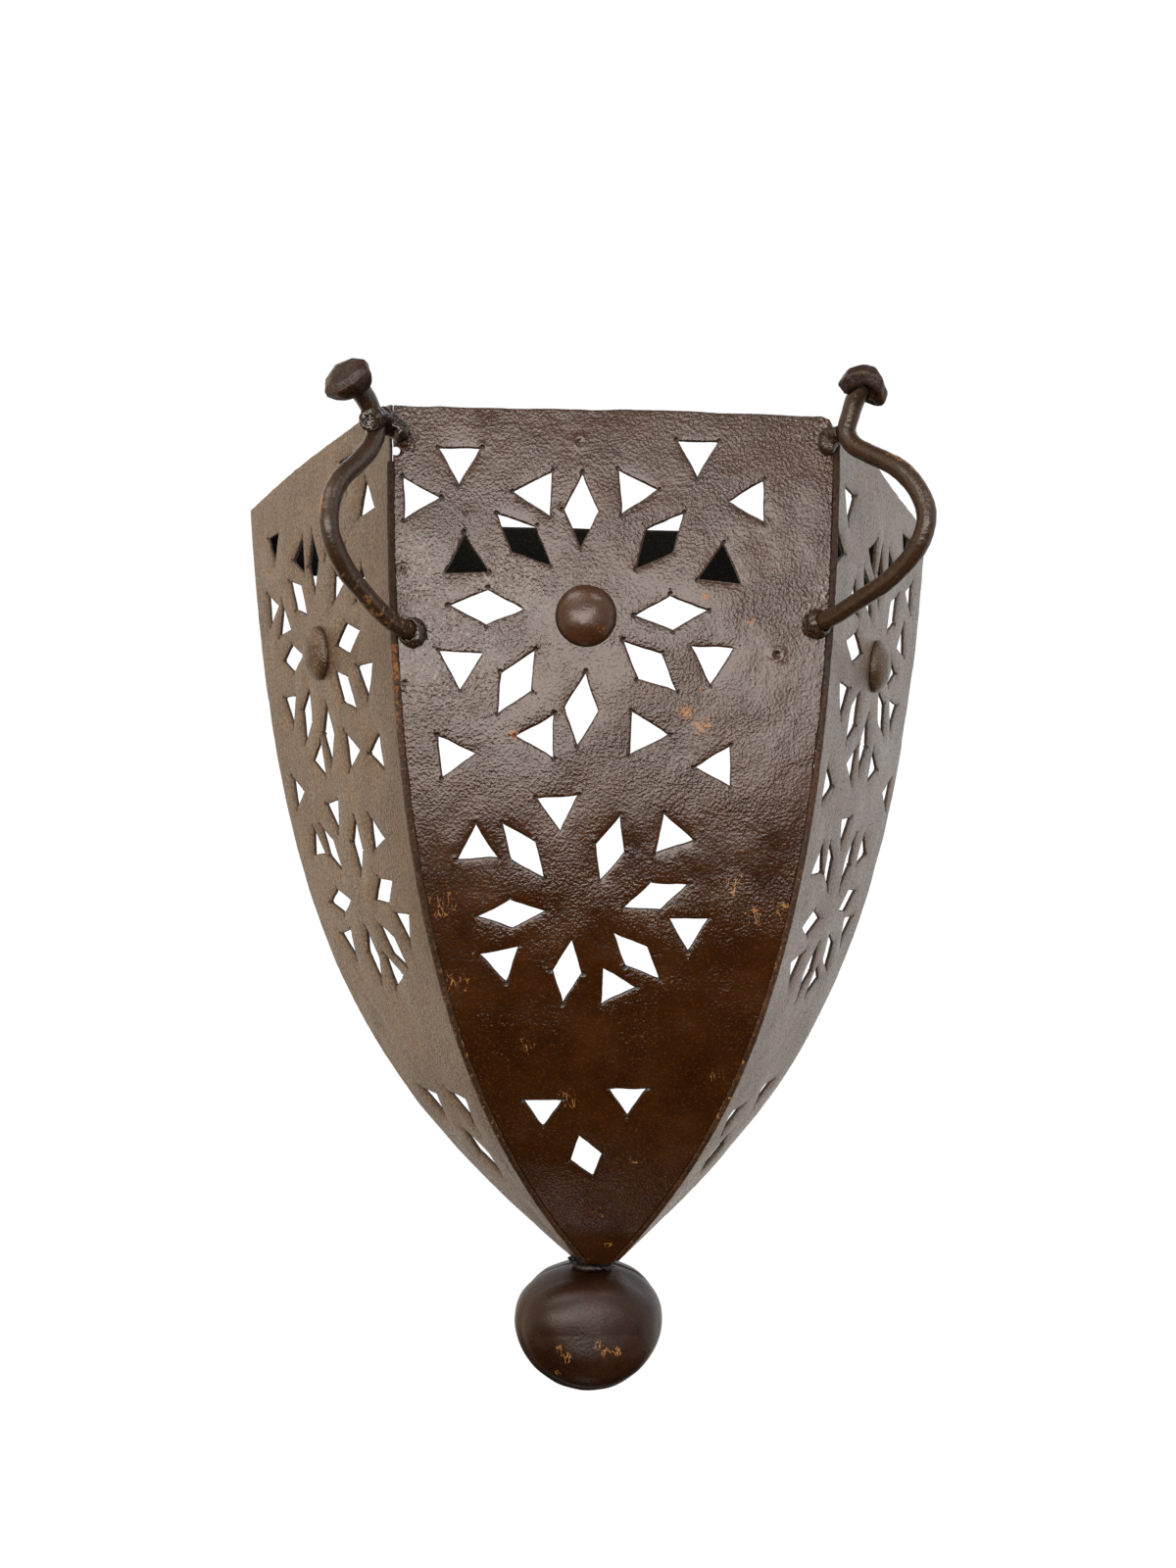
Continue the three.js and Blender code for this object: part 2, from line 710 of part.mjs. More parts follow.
// Bead along the inside corner between the strap's end and a side panel
function strapWeld(panel) {
  const inset = 2;
  const levels = 5;
  const bead = Array.from({ length: levels }, (_, i) => {
    const drop = strapDrop + inset + ((strapHeight - 2 * inset) * i) / (levels - 1);
    const { left, right, across, normal } = rulingAt(panel, stepAtDrop(panel, drop));
    const rear = panel === 0 ? left : right;
    const inward = panel === 0 ? 1 : -1;
    const centre = rear
      .clone()
      .addScaledVector(across, inward * (strapThickness + inset))
      .addScaledVector(normal, -1.5 * sheet);
    const radius = filletRadius * (i % (levels - 1) ? 1 : 0.7);
    return Array.from({ length: filletSides }, (_, k) => {
      const angle = (2 * Math.PI * k) / filletSides;
      return centre.clone().add(vector(radius * Math.cos(angle), radius * Math.sin(angle), 0));
    });
  });
  return mainPiece(skin(bead).subtract(panelSpace[panel]).subtract(strapBar(gap)));
}

// The scene: each piece is a mesh with its own material, in the group of the assembly that it belongs to
function geometryOf(solid) {
  const mesh = solid.getMesh();
  const positions = new Float32Array(mesh.numVert * 3);
  for (let i = 0; i < mesh.numVert; i++) {
    positions.set(mesh.vertProperties.subarray(i * mesh.numProp, i * mesh.numProp + 3), i * 3);
  }
  const geometry = new THREE.BufferGeometry();
  geometry.setAttribute("position", new THREE.BufferAttribute(positions, 3));
  return geometry.setIndex(new THREE.BufferAttribute(mesh.triVerts, 1));
}

function addPiece(holder, name, shape, finish) {
  const geometry = shape.isBufferGeometry ? shape : geometryOf(shape);
  const piece = new THREE.Mesh(geometry, new THREE.MeshStandardMaterial({ ...finish, flatShading: true }));
  piece.name = name;
  holder.add(piece);
  return piece;
}

const sconce = new THREE.Group();
const hung = new THREE.Group(); // everything, measured from the rim
hung.position.z = strapDrop + strapHeight - originRise;
sconce.add(hung);

["left", "front", "right"].forEach((name, panel) => {
  const finish = name === "front" ? finishes.frontSheet : finishes.sideSheet;
  addPiece(hung, name + "_panel", piercedPanel(panel), finish);
  const boss = addPiece(hung, name + "_boss", studShape(), finishes.stud);
  const { point, normal } = onSheet(panel, ...upperCentre(panel));
  boss.position.copy(point);
  boss.quaternion.copy(standing(normal));
});
addPiece(hung, "left_seam_weld", seamBead(1), finishes.weld);
addPiece(hung, "right_seam_weld", seamBead(2), finishes.weld);

for (const [name, scroll] of Object.entries(scrolls)) {
  const holder = scrollHolder(scroll);
  const shellTaken = shellSpace(scroll, holder);
  const taken = shellTaken.add(scrollRod(scroll, gap));
  hung.add(holder);
  addPiece(holder, name + "_scroll", mainPiece(scrollRod(scroll).subtract(shellTaken)), finishes.rod);
  addPiece(holder, name + "_finial", forgedHead(scroll), finishes.head);
  addPiece(holder, name + "_lower_weld", lowerWeld(scroll, taken), finishes.weld);
  addPiece(holder, name + "_upper_weld", upperWeld(scroll, holder, taken), finishes.weld);
}

const ball = new THREE.Group();
ball.position.copy(ballCentre);
hung.add(ball);
addPiece(ball, "ball_front", halfBall(-1, ballHalfWidth), finishes.ball);
const rearHalf = addPiece(ball, "ball_rear", halfBall(1, rearBallHalfWidth), finishes.ball);
rearHalf.position.set(rearBallShift[0], 0, rearBallShift[1]);
addPiece(hung, "tip_weld", tipWeld(), finishes.weld);

addPiece(hung, "back_strap", strap(), finishes.strap);
addPiece(hung, "left_strap_weld", strapWeld(0), finishes.weld);
addPiece(hung, "right_strap_weld", strapWeld(2), finishes.weld);

export default sconce;
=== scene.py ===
import math

import bpy
import numpy as np
from mathutils import Matrix, Vector, kdtree
from mathutils.geometry import delaunay_2d_cdt


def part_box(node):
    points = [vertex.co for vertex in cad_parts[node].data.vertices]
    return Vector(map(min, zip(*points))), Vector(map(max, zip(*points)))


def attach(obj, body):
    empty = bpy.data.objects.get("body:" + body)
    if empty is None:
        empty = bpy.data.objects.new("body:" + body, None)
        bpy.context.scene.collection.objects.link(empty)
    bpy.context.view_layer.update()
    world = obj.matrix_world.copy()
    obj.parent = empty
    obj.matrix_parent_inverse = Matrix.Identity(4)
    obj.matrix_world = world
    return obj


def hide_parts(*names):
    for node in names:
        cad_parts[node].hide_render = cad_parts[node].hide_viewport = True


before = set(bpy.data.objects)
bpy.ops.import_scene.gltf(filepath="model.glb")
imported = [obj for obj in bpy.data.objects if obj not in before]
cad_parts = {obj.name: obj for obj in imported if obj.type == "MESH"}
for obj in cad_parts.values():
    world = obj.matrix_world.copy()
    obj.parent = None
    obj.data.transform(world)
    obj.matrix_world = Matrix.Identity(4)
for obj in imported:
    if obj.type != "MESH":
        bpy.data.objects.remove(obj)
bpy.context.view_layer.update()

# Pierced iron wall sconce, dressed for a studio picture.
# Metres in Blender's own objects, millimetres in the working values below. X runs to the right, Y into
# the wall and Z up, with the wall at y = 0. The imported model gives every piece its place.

mm = 0.001

# Shell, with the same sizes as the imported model: half a hexagon in plan, whose radius shrinks to a tip
sheet_thickness = 1.2
rim_radius = 160
tip_radius = 10.8
shell_height = 332
upper_pull = (144.5, -202)
lower_pull = (97.5, -263.5)
seam_spread = 0.984
seam_bulge = 0.06
seam_depth = 0.855
tip_lean = 28
tip_shift = 2.3
stud_radius = 10.9
stud_height = 6
shank_radius = 3
tail_radius = 5.2
tail_height = 2.4
dome_gap = 0.1
tail_gap = 0.15
calm_radius = 3
strap_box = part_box("back_strap")
strap_drop = 5.2
rim_height = strap_box[1].z / mm + strap_drop

# Camera of the photograph: place, turn and focal length for a picture 1200 pixels wide and 1600 high
picture_height = 1600
focal_pixels = 1152.1
camera_place = (-30.2, -526.0, -126.8)
camera_yaw = 3.09
camera_pitch = 2.78
camera_roll = 0.39

# Mesh of a panel. The dishes round its holes have a value for the left, the front and the right panel
point_spacing = 1.5
row_spacing = 0.866 * point_spacing
edge_spacing = 0.8
fine_spacing = 0.25
edge_round = 0.22
corner_turn = 22
dish_depth = (0.85, 0.32, 0.85)
dish_width = (2.4, 1.7, 2.4)
highest_lift = 0.25
wall_gap = 0.01

# Nicks at the corners of the holes: chance, distance outside the corner, scatter, radii and depth
chisel_nicks = [(0.8, 0.8, 0.12, (0.75, 1.15), 1), (0.2, 2.4, 0.2, (0.4, 0.6), 0.7)]
punch_depth = 0.45

# Marks on the front panel: across, down from the rim and radius, on the flat sheet
rust_spots = [(26, 106, 5), (32, 111, 6), (49, 74, 3), (32, 65, 3), (32, 98, 3), (-35, 115, 4)]
scratched_spots = [
    (45, 168, 8), (53, 180, 9), (64, 178, 9), (-61, 176, 13), (-56, 205, 10), (-30, 232, 6),
    (-14, 256, 9), (13, 286, 6), (12, 270, 4), (42, 246, 6), (-1, 318, 7), (3, 338, 6),
]
pebbled_spots = [(-75, 8, 13), (-72, 60, 18), (-58, 88, 24), (-40, 62, 18), (74, 6, 11), (75, 68, 10)]
punch_marks = [
    (-12.8, 11.7, 1.7), (-52.5, 37.3, 1.4), (58.7, 85.2, 1.8), (-74.4, 57.8, 1.7), (-73.6, 97.3, 1.5),
]

# Ball. It fills its packed halves but for some room. Angles run from the seam to the foremost point
ball_room = (0.9, 0.6, 0.7)
ball_wall = 1.4
ball_sides = 140
ball_levels = 46
dome_angles = (7, 13, 21, 34)
dome_insets = (0, 0.7, 2.8, 3.2)
crease_angle = 19
crease_width = 4
band_turn = 0.9
seam_fade = 9

# Scratched places on the ball: right of its middle, below its middle, and radius
ball_scratches = [(-13, 0, 3.6), (-10, 3, 4), (3, -2, 3.6), (6, 1, 3.6), (11, 1, 3.4), (-13, 11, 3)]

# Area lights, in metres and watts: name, place, aim, width and height, power and colour
studio_lights = [
    ("front_window", (-0.6, -2.3, -0.18), (-0.6, 0, -0.18), (2.6, 1.06), 60, (1, 0.895, 0.815)),
    ("high_window", (-0.9, -1.1, 1.3), (0, 0, -0.2), (1.5, 0.9), 17, (1, 0.92, 0.84)),
    ("right_window", (0.75, -1.3, 1.4), (0, 0, -0.3), (0.6, 0.4), 5, (1, 0.92, 0.86)),
]


# Camera, lights and floor

def make_camera():
    yaw, pitch, roll = (math.radians(angle) for angle in (camera_yaw, camera_pitch, camera_roll))
    forward = Vector((math.sin(yaw) * math.cos(pitch), math.cos(yaw) * math.cos(pitch), math.sin(pitch)))
    level = Vector((math.cos(yaw), -math.sin(yaw), 0))
    upright = level.cross(forward)
    right = math.cos(roll) * level + math.sin(roll) * upright
    up = math.cos(roll) * upright - math.sin(roll) * level
    data = bpy.data.cameras.new("camera")
    data.sensor_width = 36
    data.lens = focal_pixels / picture_height * data.sensor_width
    data.clip_start = 0.01
    camera = bpy.data.objects.new("camera", data)
    turned = Matrix((right, up, -forward)).transposed().to_4x4()
    camera.matrix_world = Matrix.Translation(Vector(camera_place) * mm) @ turned
    bpy.context.collection.objects.link(camera)
    bpy.context.scene.camera = camera


def make_light(name, place, target, size, power, colour):
    data = bpy.data.lights.new(name, "AREA")
    data.shape = "RECTANGLE"
    data.size, data.size_y = size
    data.energy = power
    data.color = colour
    light = bpy.data.objects.new(name, data)
    light.location = place
    light.rotation_euler = (Vector(target) - Vector(place)).to_track_quat("-Z", "Y").to_euler()
    bpy.context.collection.objects.link(light)


def make_world():
    """A plain white backdrop. In reflections it is softer in front, and dark below the front window."""
    world = bpy.data.worlds.new("studio")
    tree = NodeTree(world)
    place = tree.nodes.new("ShaderNodeTexCoord").outputs["Generated"]
    to_right, to_wall, upward = tree.node("ShaderNodeSeparateXYZ", {0: place}).outputs

    def spread(value, low, high):
        inputs = {"Value": value, "From Min": low, "From Max": high}
        return tree.node("ShaderNodeMapRange", inputs).outputs[0]

    dark, soft, white = (0.012, 0.0115, 0.011), (0.62, 0.61, 0.6), (1.05, 1.05, 1.05)
    low_warm, ceiling = (0.86, 0.79, 0.7), (0.2, 0.2, 0.21)
    height = spread(upward, -1, 1)
    behind = tree.ramp(
        height, (0.16, dark), (0.24, low_warm), (0.42, white), (0.82, white), (0.92, ceiling)
    )
    in_front = tree.ramp(height, (0.31, dark), (0.36, soft), (0.9, soft), (0.97, ceiling))
    around = tree.blend(spread(to_wall, -0.6, -0.25), in_front, behind)
    warm_left = tree.ramp(spread(to_right, -0.65, -0.25), (0, (1, 0.86, 0.68)), (1, (1, 1, 1)))
    studio = tree.blend(1, around, warm_left, "MULTIPLY")

    reflected = tree.nodes["Background"]
    tree.links.new(studio, reflected.inputs["Color"])
    backdrop = tree.node("ShaderNodeBackground", {"Color": (*white, 1)})
    seen = tree.nodes.new("ShaderNodeLightPath").outputs["Is Camera Ray"]
    both = tree.node("ShaderNodeMixShader", {0: seen, 1: reflected.outputs[0], 2: backdrop.outputs[0]})
    tree.links.new(both.outputs[0], tree.nodes["World Output"].inputs["Surface"])
    bpy.context.scene.world = world


def make_floor():
    """A round paper floor well below the object, pale and glowing a little, as bright as the backdrop."""
    radius, drop, sides = 0.3, -3.0, 96
    turns = [2 * math.pi * k / sides for k in range(sides)]
    rim = [(radius * math.cos(turn), radius * math.sin(turn), drop) for turn in turns]
    mesh = bpy.data.meshes.new("floor")
    mesh.from_pydata(rim, [], [list(range(sides))])
    floor = bpy.data.objects.new("floor", mesh)
    bpy.context.collection.objects.link(floor)
    paper = Recipe("pale_glowing_floor")
    cloud = paper.noise(3, detail=2)
    paper.feed("Base Color", paper.ramp(cloud, (0.3, (0.5, 0.49, 0.47)), (0.7, (0.54, 0.53, 0.51))))
    paper.feed("Roughness", paper.band(cloud, 0.3, 0.7, 0.85, 0.95))
    # Painted light: the floor glows, though it is no lamp
    paper.shader.inputs["Emission Color"].default_value = (1, 0.985, 0.96, 1)
    paper.shader.inputs["Emission Strength"].default_value = 0.5
    mesh.materials.append(paper.material)


# Materials

class NodeTree:
    """Adds nodes to the tree of a material or of the world, and links them as it goes."""

    def __init__(self, owner):
        owner.use_nodes = True
        self.nodes = owner.node_tree.nodes
        self.links = owner.node_tree.links

    def node(self, kind, inputs=(), **settings):
        made = self.nodes.new(kind)
        for key, value in settings.items():
            setattr(made, key, value)
        for key, value in dict(inputs).items():
            if isinstance(value, bpy.types.NodeSocket):
                self.links.new(value, made.inputs[key])
            else:
                made.inputs[key].default_value = value
        return made

    def ramp(self, value, *stops):
        """Colours from stops of a position and a colour each."""
        made = self.node("ShaderNodeValToRGB", {"Fac": value})
        elements = made.color_ramp.elements
        while len(elements) < len(stops):
            elements.new(0.5)
        for element, (position, colour) in zip(elements, stops):
            element.position = position
            element.color = (*colour, 1)
        return made.outputs["Color"]

    def blend(self, amount, first, second, blend_type="MIX"):
        """A mix of two colours, each of them a socket or three numbers."""
        inputs = {0: amount}
        for key, colour in ((6, first), (7, second)):
            inputs[key] = (*colour, 1) if isinstance(colour, tuple) else colour
        return self.node("ShaderNodeMix", inputs, data_type="RGBA", blend_type=blend_type).outputs[2]


class Recipe(NodeTree):
    """Builds one node material step by step, on the object's own coordinates. Scales are per metre."""

    def __init__(self, name):
        self.material = bpy.data.materials.new(name)
        super().__init__(self.material)
        self.shader = self.nodes["Principled BSDF"]
        self.place = self.nodes.new("ShaderNodeTexCoord").outputs["Object"]

    def stretched(self, stretch, turn=(0, 0, 0), place=None):
        inputs = {
            "Vector": place or self.place,
            "Scale": stretch,
            "Rotation": [math.radians(angle) for angle in turn],
        }
        return self.node("ShaderNodeMapping", inputs).outputs[0]

    def wavy(self, scale, amount):
        """The coordinates, shifted by a noise of so many millimetres."""
        shift = self.node("ShaderNodeTexNoise", {"Vector": self.place, "Scale": scale, "Detail": 2})
        inputs = {0: shift.outputs["Color"], 1: (amount * mm,) * 3, 2: self.place}
        return self.node("ShaderNodeVectorMath", inputs, operation="MULTIPLY_ADD").outputs[0]

    def noise(self, scale, detail=3, roughness=0.5, place=None):
        inputs = {
            "Vector": place or self.place,
            "Scale": scale,
            "Detail": detail,
            "Roughness": roughness,
        }
        return self.node("ShaderNodeTexNoise", inputs).outputs["Fac"]

    def cells(self, scale, feature, place=None):
        inputs = {"Vector": place or self.place, "Scale": scale}
        return self.node("ShaderNodeTexVoronoi", inputs, feature=feature).outputs["Distance"]

    def mark(self, name):
        """A value that a mesh carries at its points, such as how near the edge of a hole is."""
        return self.node("ShaderNodeAttribute", attribute_name=name).outputs["Fac"]

    def band(self, value, low, high, first=0.0, last=1.0):
        """Runs smoothly from first to last while the value runs from low to high."""
        inputs = {"Value": value, "From Min": low, "From Max": high, "To Min": first, "To Max": last}
        return self.node("ShaderNodeMapRange", inputs, interpolation_type="SMOOTHSTEP").outputs[0]

    def times(self, first, second):
        return self.node("ShaderNodeMath", {0: first, 1: second}, operation="MULTIPLY").outputs[0]

    def total(self, first, *others):
        for other in others:
            first = self.node("ShaderNodeMath", {0: first, 1: other}, operation="ADD").outputs[0]
        return first

    def bump(self, height):
        """A bump from heights in millimetres."""
        return self.node("ShaderNodeBump", {"Height": height, "Distance": mm, "Strength": 1}).outputs[0]

    def feed(self, name, socket):
        """Links a socket to an input of the shader."""
        self.links.new(socket, self.shader.inputs[name])


rust_orange = (0.30, 0.085, 0.016)
rust_gold = (0.34, 0.165, 0.05)
# Near black of grime and of painted shade
grime_and_shade_black = (0.004, 0.003, 0.0022)
# Light grey of the weld grit, partly painted glints
grit_and_glint_grey = (0.17, 0.145, 0.13)


def tinted(colour, share):
    """A colour made darker or lighter."""
    return tuple(share * channel for channel in colour)


def scratched(iron, colour, crumbs, scratches):
    """Fine gold scratches along the edges of long wavy cells, broken up by the crumbs."""
    wavy = iron.wavy(90, 4)
    for stretch, tilt in (((1, 1, 0.22), 6), ((1, 1, 0.4), -36)):
        edges = iron.cells(scratches, "DISTANCE_TO_EDGE", iron.stretched(stretch, (0, tilt, 0), wavy))
        thin = iron.band(edges, 0.01, 0.04, 0.85, 0)
        broken = iron.band(iron.total(iron.mark("scratch"), crumbs), 0.96, 1.12)
        colour = iron.blend(iron.times(thin, broken), colour, rust_gold)
    return colour


def relief(iron, grains, grooves, pebbled, sand, peel, streak):
    """Heights in millimetres: patchy sand, a skin like orange peel, upright grooves, pebbles near welds."""
    patchy = iron.band(iron.noise(38), 0.36, 0.64, 0.45 * sand, 1.35 * sand)
    pebbles = iron.band(iron.cells(850, "SMOOTH_F1"), 0, 0.7, 0.1, 0)
    return iron.total(
        iron.times(grains, patchy),
        iron.times(iron.noise(400, detail=2), peel),
        iron.times(grooves, -streak),
        iron.times(pebbles, pebbled),
    )


def waxed_iron(name, dark, middle, light, sheen, sand=0.1, peel=0.1, streak=0.0, pitted=0.3, rust=0.4,
               ior=1.5, scratches=280):
    """Dark waxed iron with a mottled patina, a sandy grain, and the marks that its meshes carry.

    The sheen is the range of the roughness. Sand, peel and streak are heights in millimetres, pitted and
    rust are strengths, and scratches is how many cells with scratched edges lie side by side on a metre.
    """
    iron = Recipe(name)
    mottle = iron.noise(45, detail=7, roughness=0.65)
    grains = iron.noise(980, detail=2)
    crumbs = iron.noise(420, detail=4, roughness=0.7)
    fine_crumbs = iron.noise(800, roughness=0.7)
    grooves = iron.noise(330, roughness=0.6, place=iron.stretched((1, 1, 0.12)))
    flakes = iron.noise(560, detail=5, roughness=0.75, place=iron.stretched((1, 1, 0.6)))
    grit_and_glints = iron.band(iron.noise(900, detail=2), 0.53, 0.63, 0, 0.6)

    # The skin itself: mottled, with light grains and dark pits, stained, and dark in its grooves
    colour = iron.ramp(mottle, (0.34, dark), (0.52, middle), (0.72, light))
    colour = iron.blend(iron.band(grains, 0.54, 0.68, 0, 2 * pitted), colour, tinted(light, 2))
    pits = iron.band(grains, 0.34, 0.46, 2 * pitted, 0)
    colour = iron.blend(pits, colour, tinted(dark, 0.5))
    stain = iron.band(iron.noise(64, detail=5, roughness=0.7), 0.62, 0.8, 0, 0.5 * rust)
    colour = iron.blend(stain, colour, tinted(rust_orange, 0.5))
    colour = iron.blend(iron.band(grooves, 0.5, 0.66, 0, 3 * streak), colour, dark)

    # What the meshes carry: painted shade, grit with painted glints near welds, rust, scratches, worn
    # places, crests, and grime with painted shade
    colour = iron.blend(iron.band(iron.mark("shade"), 0, 1), colour, dark)
    pebbled = iron.band(iron.mark("pebbled"), 0, 1)
    # Weld spatter near the seams, its specks partly painted glints
    colour = iron.blend(iron.times(grit_and_glints, pebbled), colour, grit_and_glint_grey)
    rusty = iron.band(iron.total(iron.mark("rust"), fine_crumbs), 1.0, 1.25, 0, 0.85)
    flecks = iron.ramp(iron.noise(170), (0.35, rust_orange), (0.65, rust_gold))
    colour = iron.blend(rusty, colour, flecks)
    colour = scratched(iron, colour, crumbs, scratches)
    rubbed = iron.band(iron.total(iron.mark("worn"), flakes), 1.06, 1.12, 0, 0.8)
    colour = iron.blend(rubbed, colour, rust_gold)
    crest = iron.band(iron.mark("crest"), 0.55, 1.0, 0, 0.35)
    colour = iron.blend(crest, colour, tinted(light, 1.8))
    grime_and_shade = iron.band(iron.mark("grime_and_shade"), 0.1, 1.0, 0, 0.9)
    colour = iron.blend(grime_and_shade, colour, grime_and_shade_black)
    iron.feed("Base Color", colour)

    gloss = iron.band(iron.total(iron.noise(14, detail=2), mottle), 0.75, 1.25, *sheen)
    dull = iron.total(
        iron.band(rusty, 0, 1, 0, 0.25), iron.band(grime_and_shade, 0, 1, 0, 0.35), iron.times(pits, 0.3)
    )
    iron.feed("Roughness", iron.total(gloss, dull))
    iron.feed("Normal", iron.bump(relief(iron, grains, grooves, pebbled, sand, peel, streak)))
    iron.shader.inputs["IOR"].default_value = ior
    return iron.material


def make_materials():
    """A material for each slot, and one more for the seams. Each has a dark, a middle and a light shade."""
    return {
        "front_sheet": waxed_iron(
            "front_patina", (0.0190, 0.0052, 0.0005), (0.0290, 0.0088, 0.0013), (0.042, 0.0150, 0.0036),
            sheen=(0.15, 0.21), sand=0.26, peel=0.1, pitted=0.17, rust=0.25,
        ),
        # Painted light: the side panels' iron is much lighter than the front's, for the light that the sides
        # catch
        "side_sheet": waxed_iron(
            "side_patina_lit", (0.046, 0.0250, 0.0112), (0.088, 0.0500, 0.0250), (0.124, 0.076, 0.042),
            sheen=(0.26, 0.36), sand=0.4, peel=0.16, streak=0.14, pitted=0.3, rust=0.15,
        ),
        "stud_iron": waxed_iron(
            "stud_patina", (0.028, 0.0105, 0.0036), (0.040, 0.0155, 0.006), (0.058, 0.0255, 0.011),
            sheen=(0.24, 0.32), sand=0.08, peel=0.07, pitted=0.12,
        ),
        "rod_iron": waxed_iron(
            "rod_patina", (0.0085, 0.0040, 0.0018), (0.016, 0.0076, 0.0036), (0.032, 0.0165, 0.0080),
            sheen=(0.2, 0.3), sand=0.12, peel=0.14, ior=1.46,
        ),
        "head_iron": waxed_iron(
            "head_patina", (0.009, 0.0036, 0.0018), (0.017, 0.0072, 0.0039), (0.030, 0.0150, 0.0085),
            sheen=(0.28, 0.4), sand=0.2, peel=0.14, ior=1.36,
        ),
        "weld_metal": waxed_iron(
            "weld_patina", (0.008, 0.0040, 0.0023), (0.015, 0.0077, 0.0045), (0.032, 0.0180, 0.0105),
            sheen=(0.16, 0.26), sand=0.08, peel=0.2,
        ),
        "seam_metal": waxed_iron(
            "seam_patina", (0.012, 0.0048, 0.0018), (0.024, 0.0098, 0.0038), (0.045, 0.0210, 0.0090),
            sheen=(0.45, 0.6), sand=0.15, peel=0.15, ior=1.3,
        ),
        "ball_iron": waxed_iron(
            "ball_patina", (0.010, 0.0027, 0.0004), (0.0175, 0.0050, 0.0010), (0.027, 0.0092, 0.0032),
            sheen=(0.32, 0.42), sand=0.12, peel=0.06, pitted=0.12, rust=0.2, ior=1.38, scratches=520,
        ),
        # Painted shade: the strap is nearly black, as dark as the shade inside the shell
        "strap_iron": waxed_iron(
            "strap_patina_and_shade", (0.0014, 0.0012, 0.0009), (0.0032, 0.0029, 0.0021), (0.009, 0.0078, 0.0056),
            sheen=(0.6, 0.8), rust=0.3, ior=1.18,
        ),
    }


materials = make_materials()


# Noise and meshes

hash_values = np.random.default_rng(11).uniform(-1, 1, 4096)


def lumps(points, size, seed, octaves=2):
    """Smooth noise from -1 to 1 at points in millimetres, with lumps of about the given size."""
    total = np.zeros(len(points))
    weight_sum = 0
    for octave in range(octaves):
        scaled = points / size * 2**octave + 31.7 * (seed + 1)
        cell = np.floor(scaled).astype(np.int64)
        part = scaled - cell
        part = part * part * (3 - 2 * part)
        value = np.zeros(len(points))
        for corner in np.ndindex(2, 2, 2):
            x, y, z = (cell + corner).T
            mixed = (x * 73856093) ^ (y * 19349663) ^ (z * 83492791) ^ (seed * 2654435)
            share = np.prod(np.where(corner, part, 1 - part), axis=1)
            value += share * hash_values[mixed % len(hash_values)]
        weight = 0.5**octave
        total += weight * value
        weight_sum += weight
    return total / weight_sum


def unit(vectors):
    return vectors / np.maximum(np.linalg.norm(vectors, axis=-1, keepdims=True), 1e-9)


def add_piece(name, points, faces, slot, node, marks, look=None):
    """One shown piece from points in millimetres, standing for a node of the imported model."""
    mesh = bpy.data.meshes.new(name)
    mesh.from_pydata((np.asarray(points) * mm).tolist(), [], [list(face) for face in faces])
    mesh.validate()
    mesh.shade_smooth()
    for key, values in marks.items():
        layer = mesh.attributes.new(key, "FLOAT", "POINT")
        layer.data.foreach_set("value", np.asarray(values, dtype=np.float32))
    mesh.materials.append(materials[look or slot])
    piece = bpy.data.objects.new(name, mesh)
    bpy.context.collection.objects.link(piece)
    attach(piece, "root")
    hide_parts(node)


def packed_box(node):
    """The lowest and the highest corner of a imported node, in millimetres."""
    return (np.array(corner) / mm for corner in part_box(node))


def tube_faces(rings, sides):
    """The faces between rings of points that follow each other."""
    faces = []
    for start in range(0, (rings - 1) * sides, sides):
        for i in range(sides):
            j = (i + 1) % sides
            faces.append((start + i, start + j, start + sides + j, start + sides + i))
    return faces


def mesh_arrays(mesh):
    points = np.empty(len(mesh.vertices) * 3)
    mesh.vertices.foreach_get("co", points)
    normals = np.empty(len(mesh.vertices) * 3)
    mesh.vertices.foreach_get("normal", normals)
    faces = [tuple(polygon.vertices) for polygon in mesh.polygons]
    return points.reshape(-1, 3) / mm, normals.reshape(-1, 3), faces


def welded_copy(node):
    """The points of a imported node, each only once, and its faces."""
    points, _, faces = mesh_arrays(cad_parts[node].data)
    _, first, which = np.unique(np.round(points, 3), axis=0, return_index=True, return_inverse=True)
    which = which.reshape(-1)
    kept = [tuple(which[list(face)]) for face in faces]
    return points[first], [face for face in kept if len(set(face)) == len(face)]


def remeshed(points, faces, voxel, smoothing):
    """The same solid with even small faces and softened corners."""
    mesh = bpy.data.meshes.new("draft")
    mesh.from_pydata((points * mm).tolist(), [], faces)
    draft = bpy.data.objects.new("draft", mesh)
    bpy.context.collection.objects.link(draft)
    remesh = draft.modifiers.new("even", "REMESH")
    remesh.mode = "VOXEL"
    remesh.voxel_size = voxel * mm
    smooth = draft.modifiers.new("soft", "SMOOTH")
    smooth.iterations = smoothing
    smooth.factor = 0.6
    depsgraph = bpy.context.evaluated_depsgraph_get()
    made = mesh_arrays(draft.evaluated_get(depsgraph).to_mesh())
    bpy.data.objects.remove(draft)
    bpy.data.meshes.remove(mesh)
    return made


def crest_of(points, normals, faces):
    """How far each point stands out of its neighbours: worn edges near 1, hollows near 0."""
    edges = np.array([(face[i - 1], face[i]) for face in faces for i in range(len(face))])
    edges = np.vstack([edges, edges[:, ::-1]])
    count = np.maximum(np.bincount(edges[:, 0], minlength=len(points)), 1)

    def spread(values):
        return np.bincount(edges[:, 0], values[edges[:, 1]], minlength=len(points)) / count

    average = np.stack([spread(points[:, axis]) for axis in range(3)], axis=1)
    rise = np.sum((points - average) * normals, axis=1)
    for _ in range(2):
        rise = (rise + spread(rise)) / 2
    return np.clip(0.5 + rise / (4 * np.std(rise) + 1e-9), 0, 1)


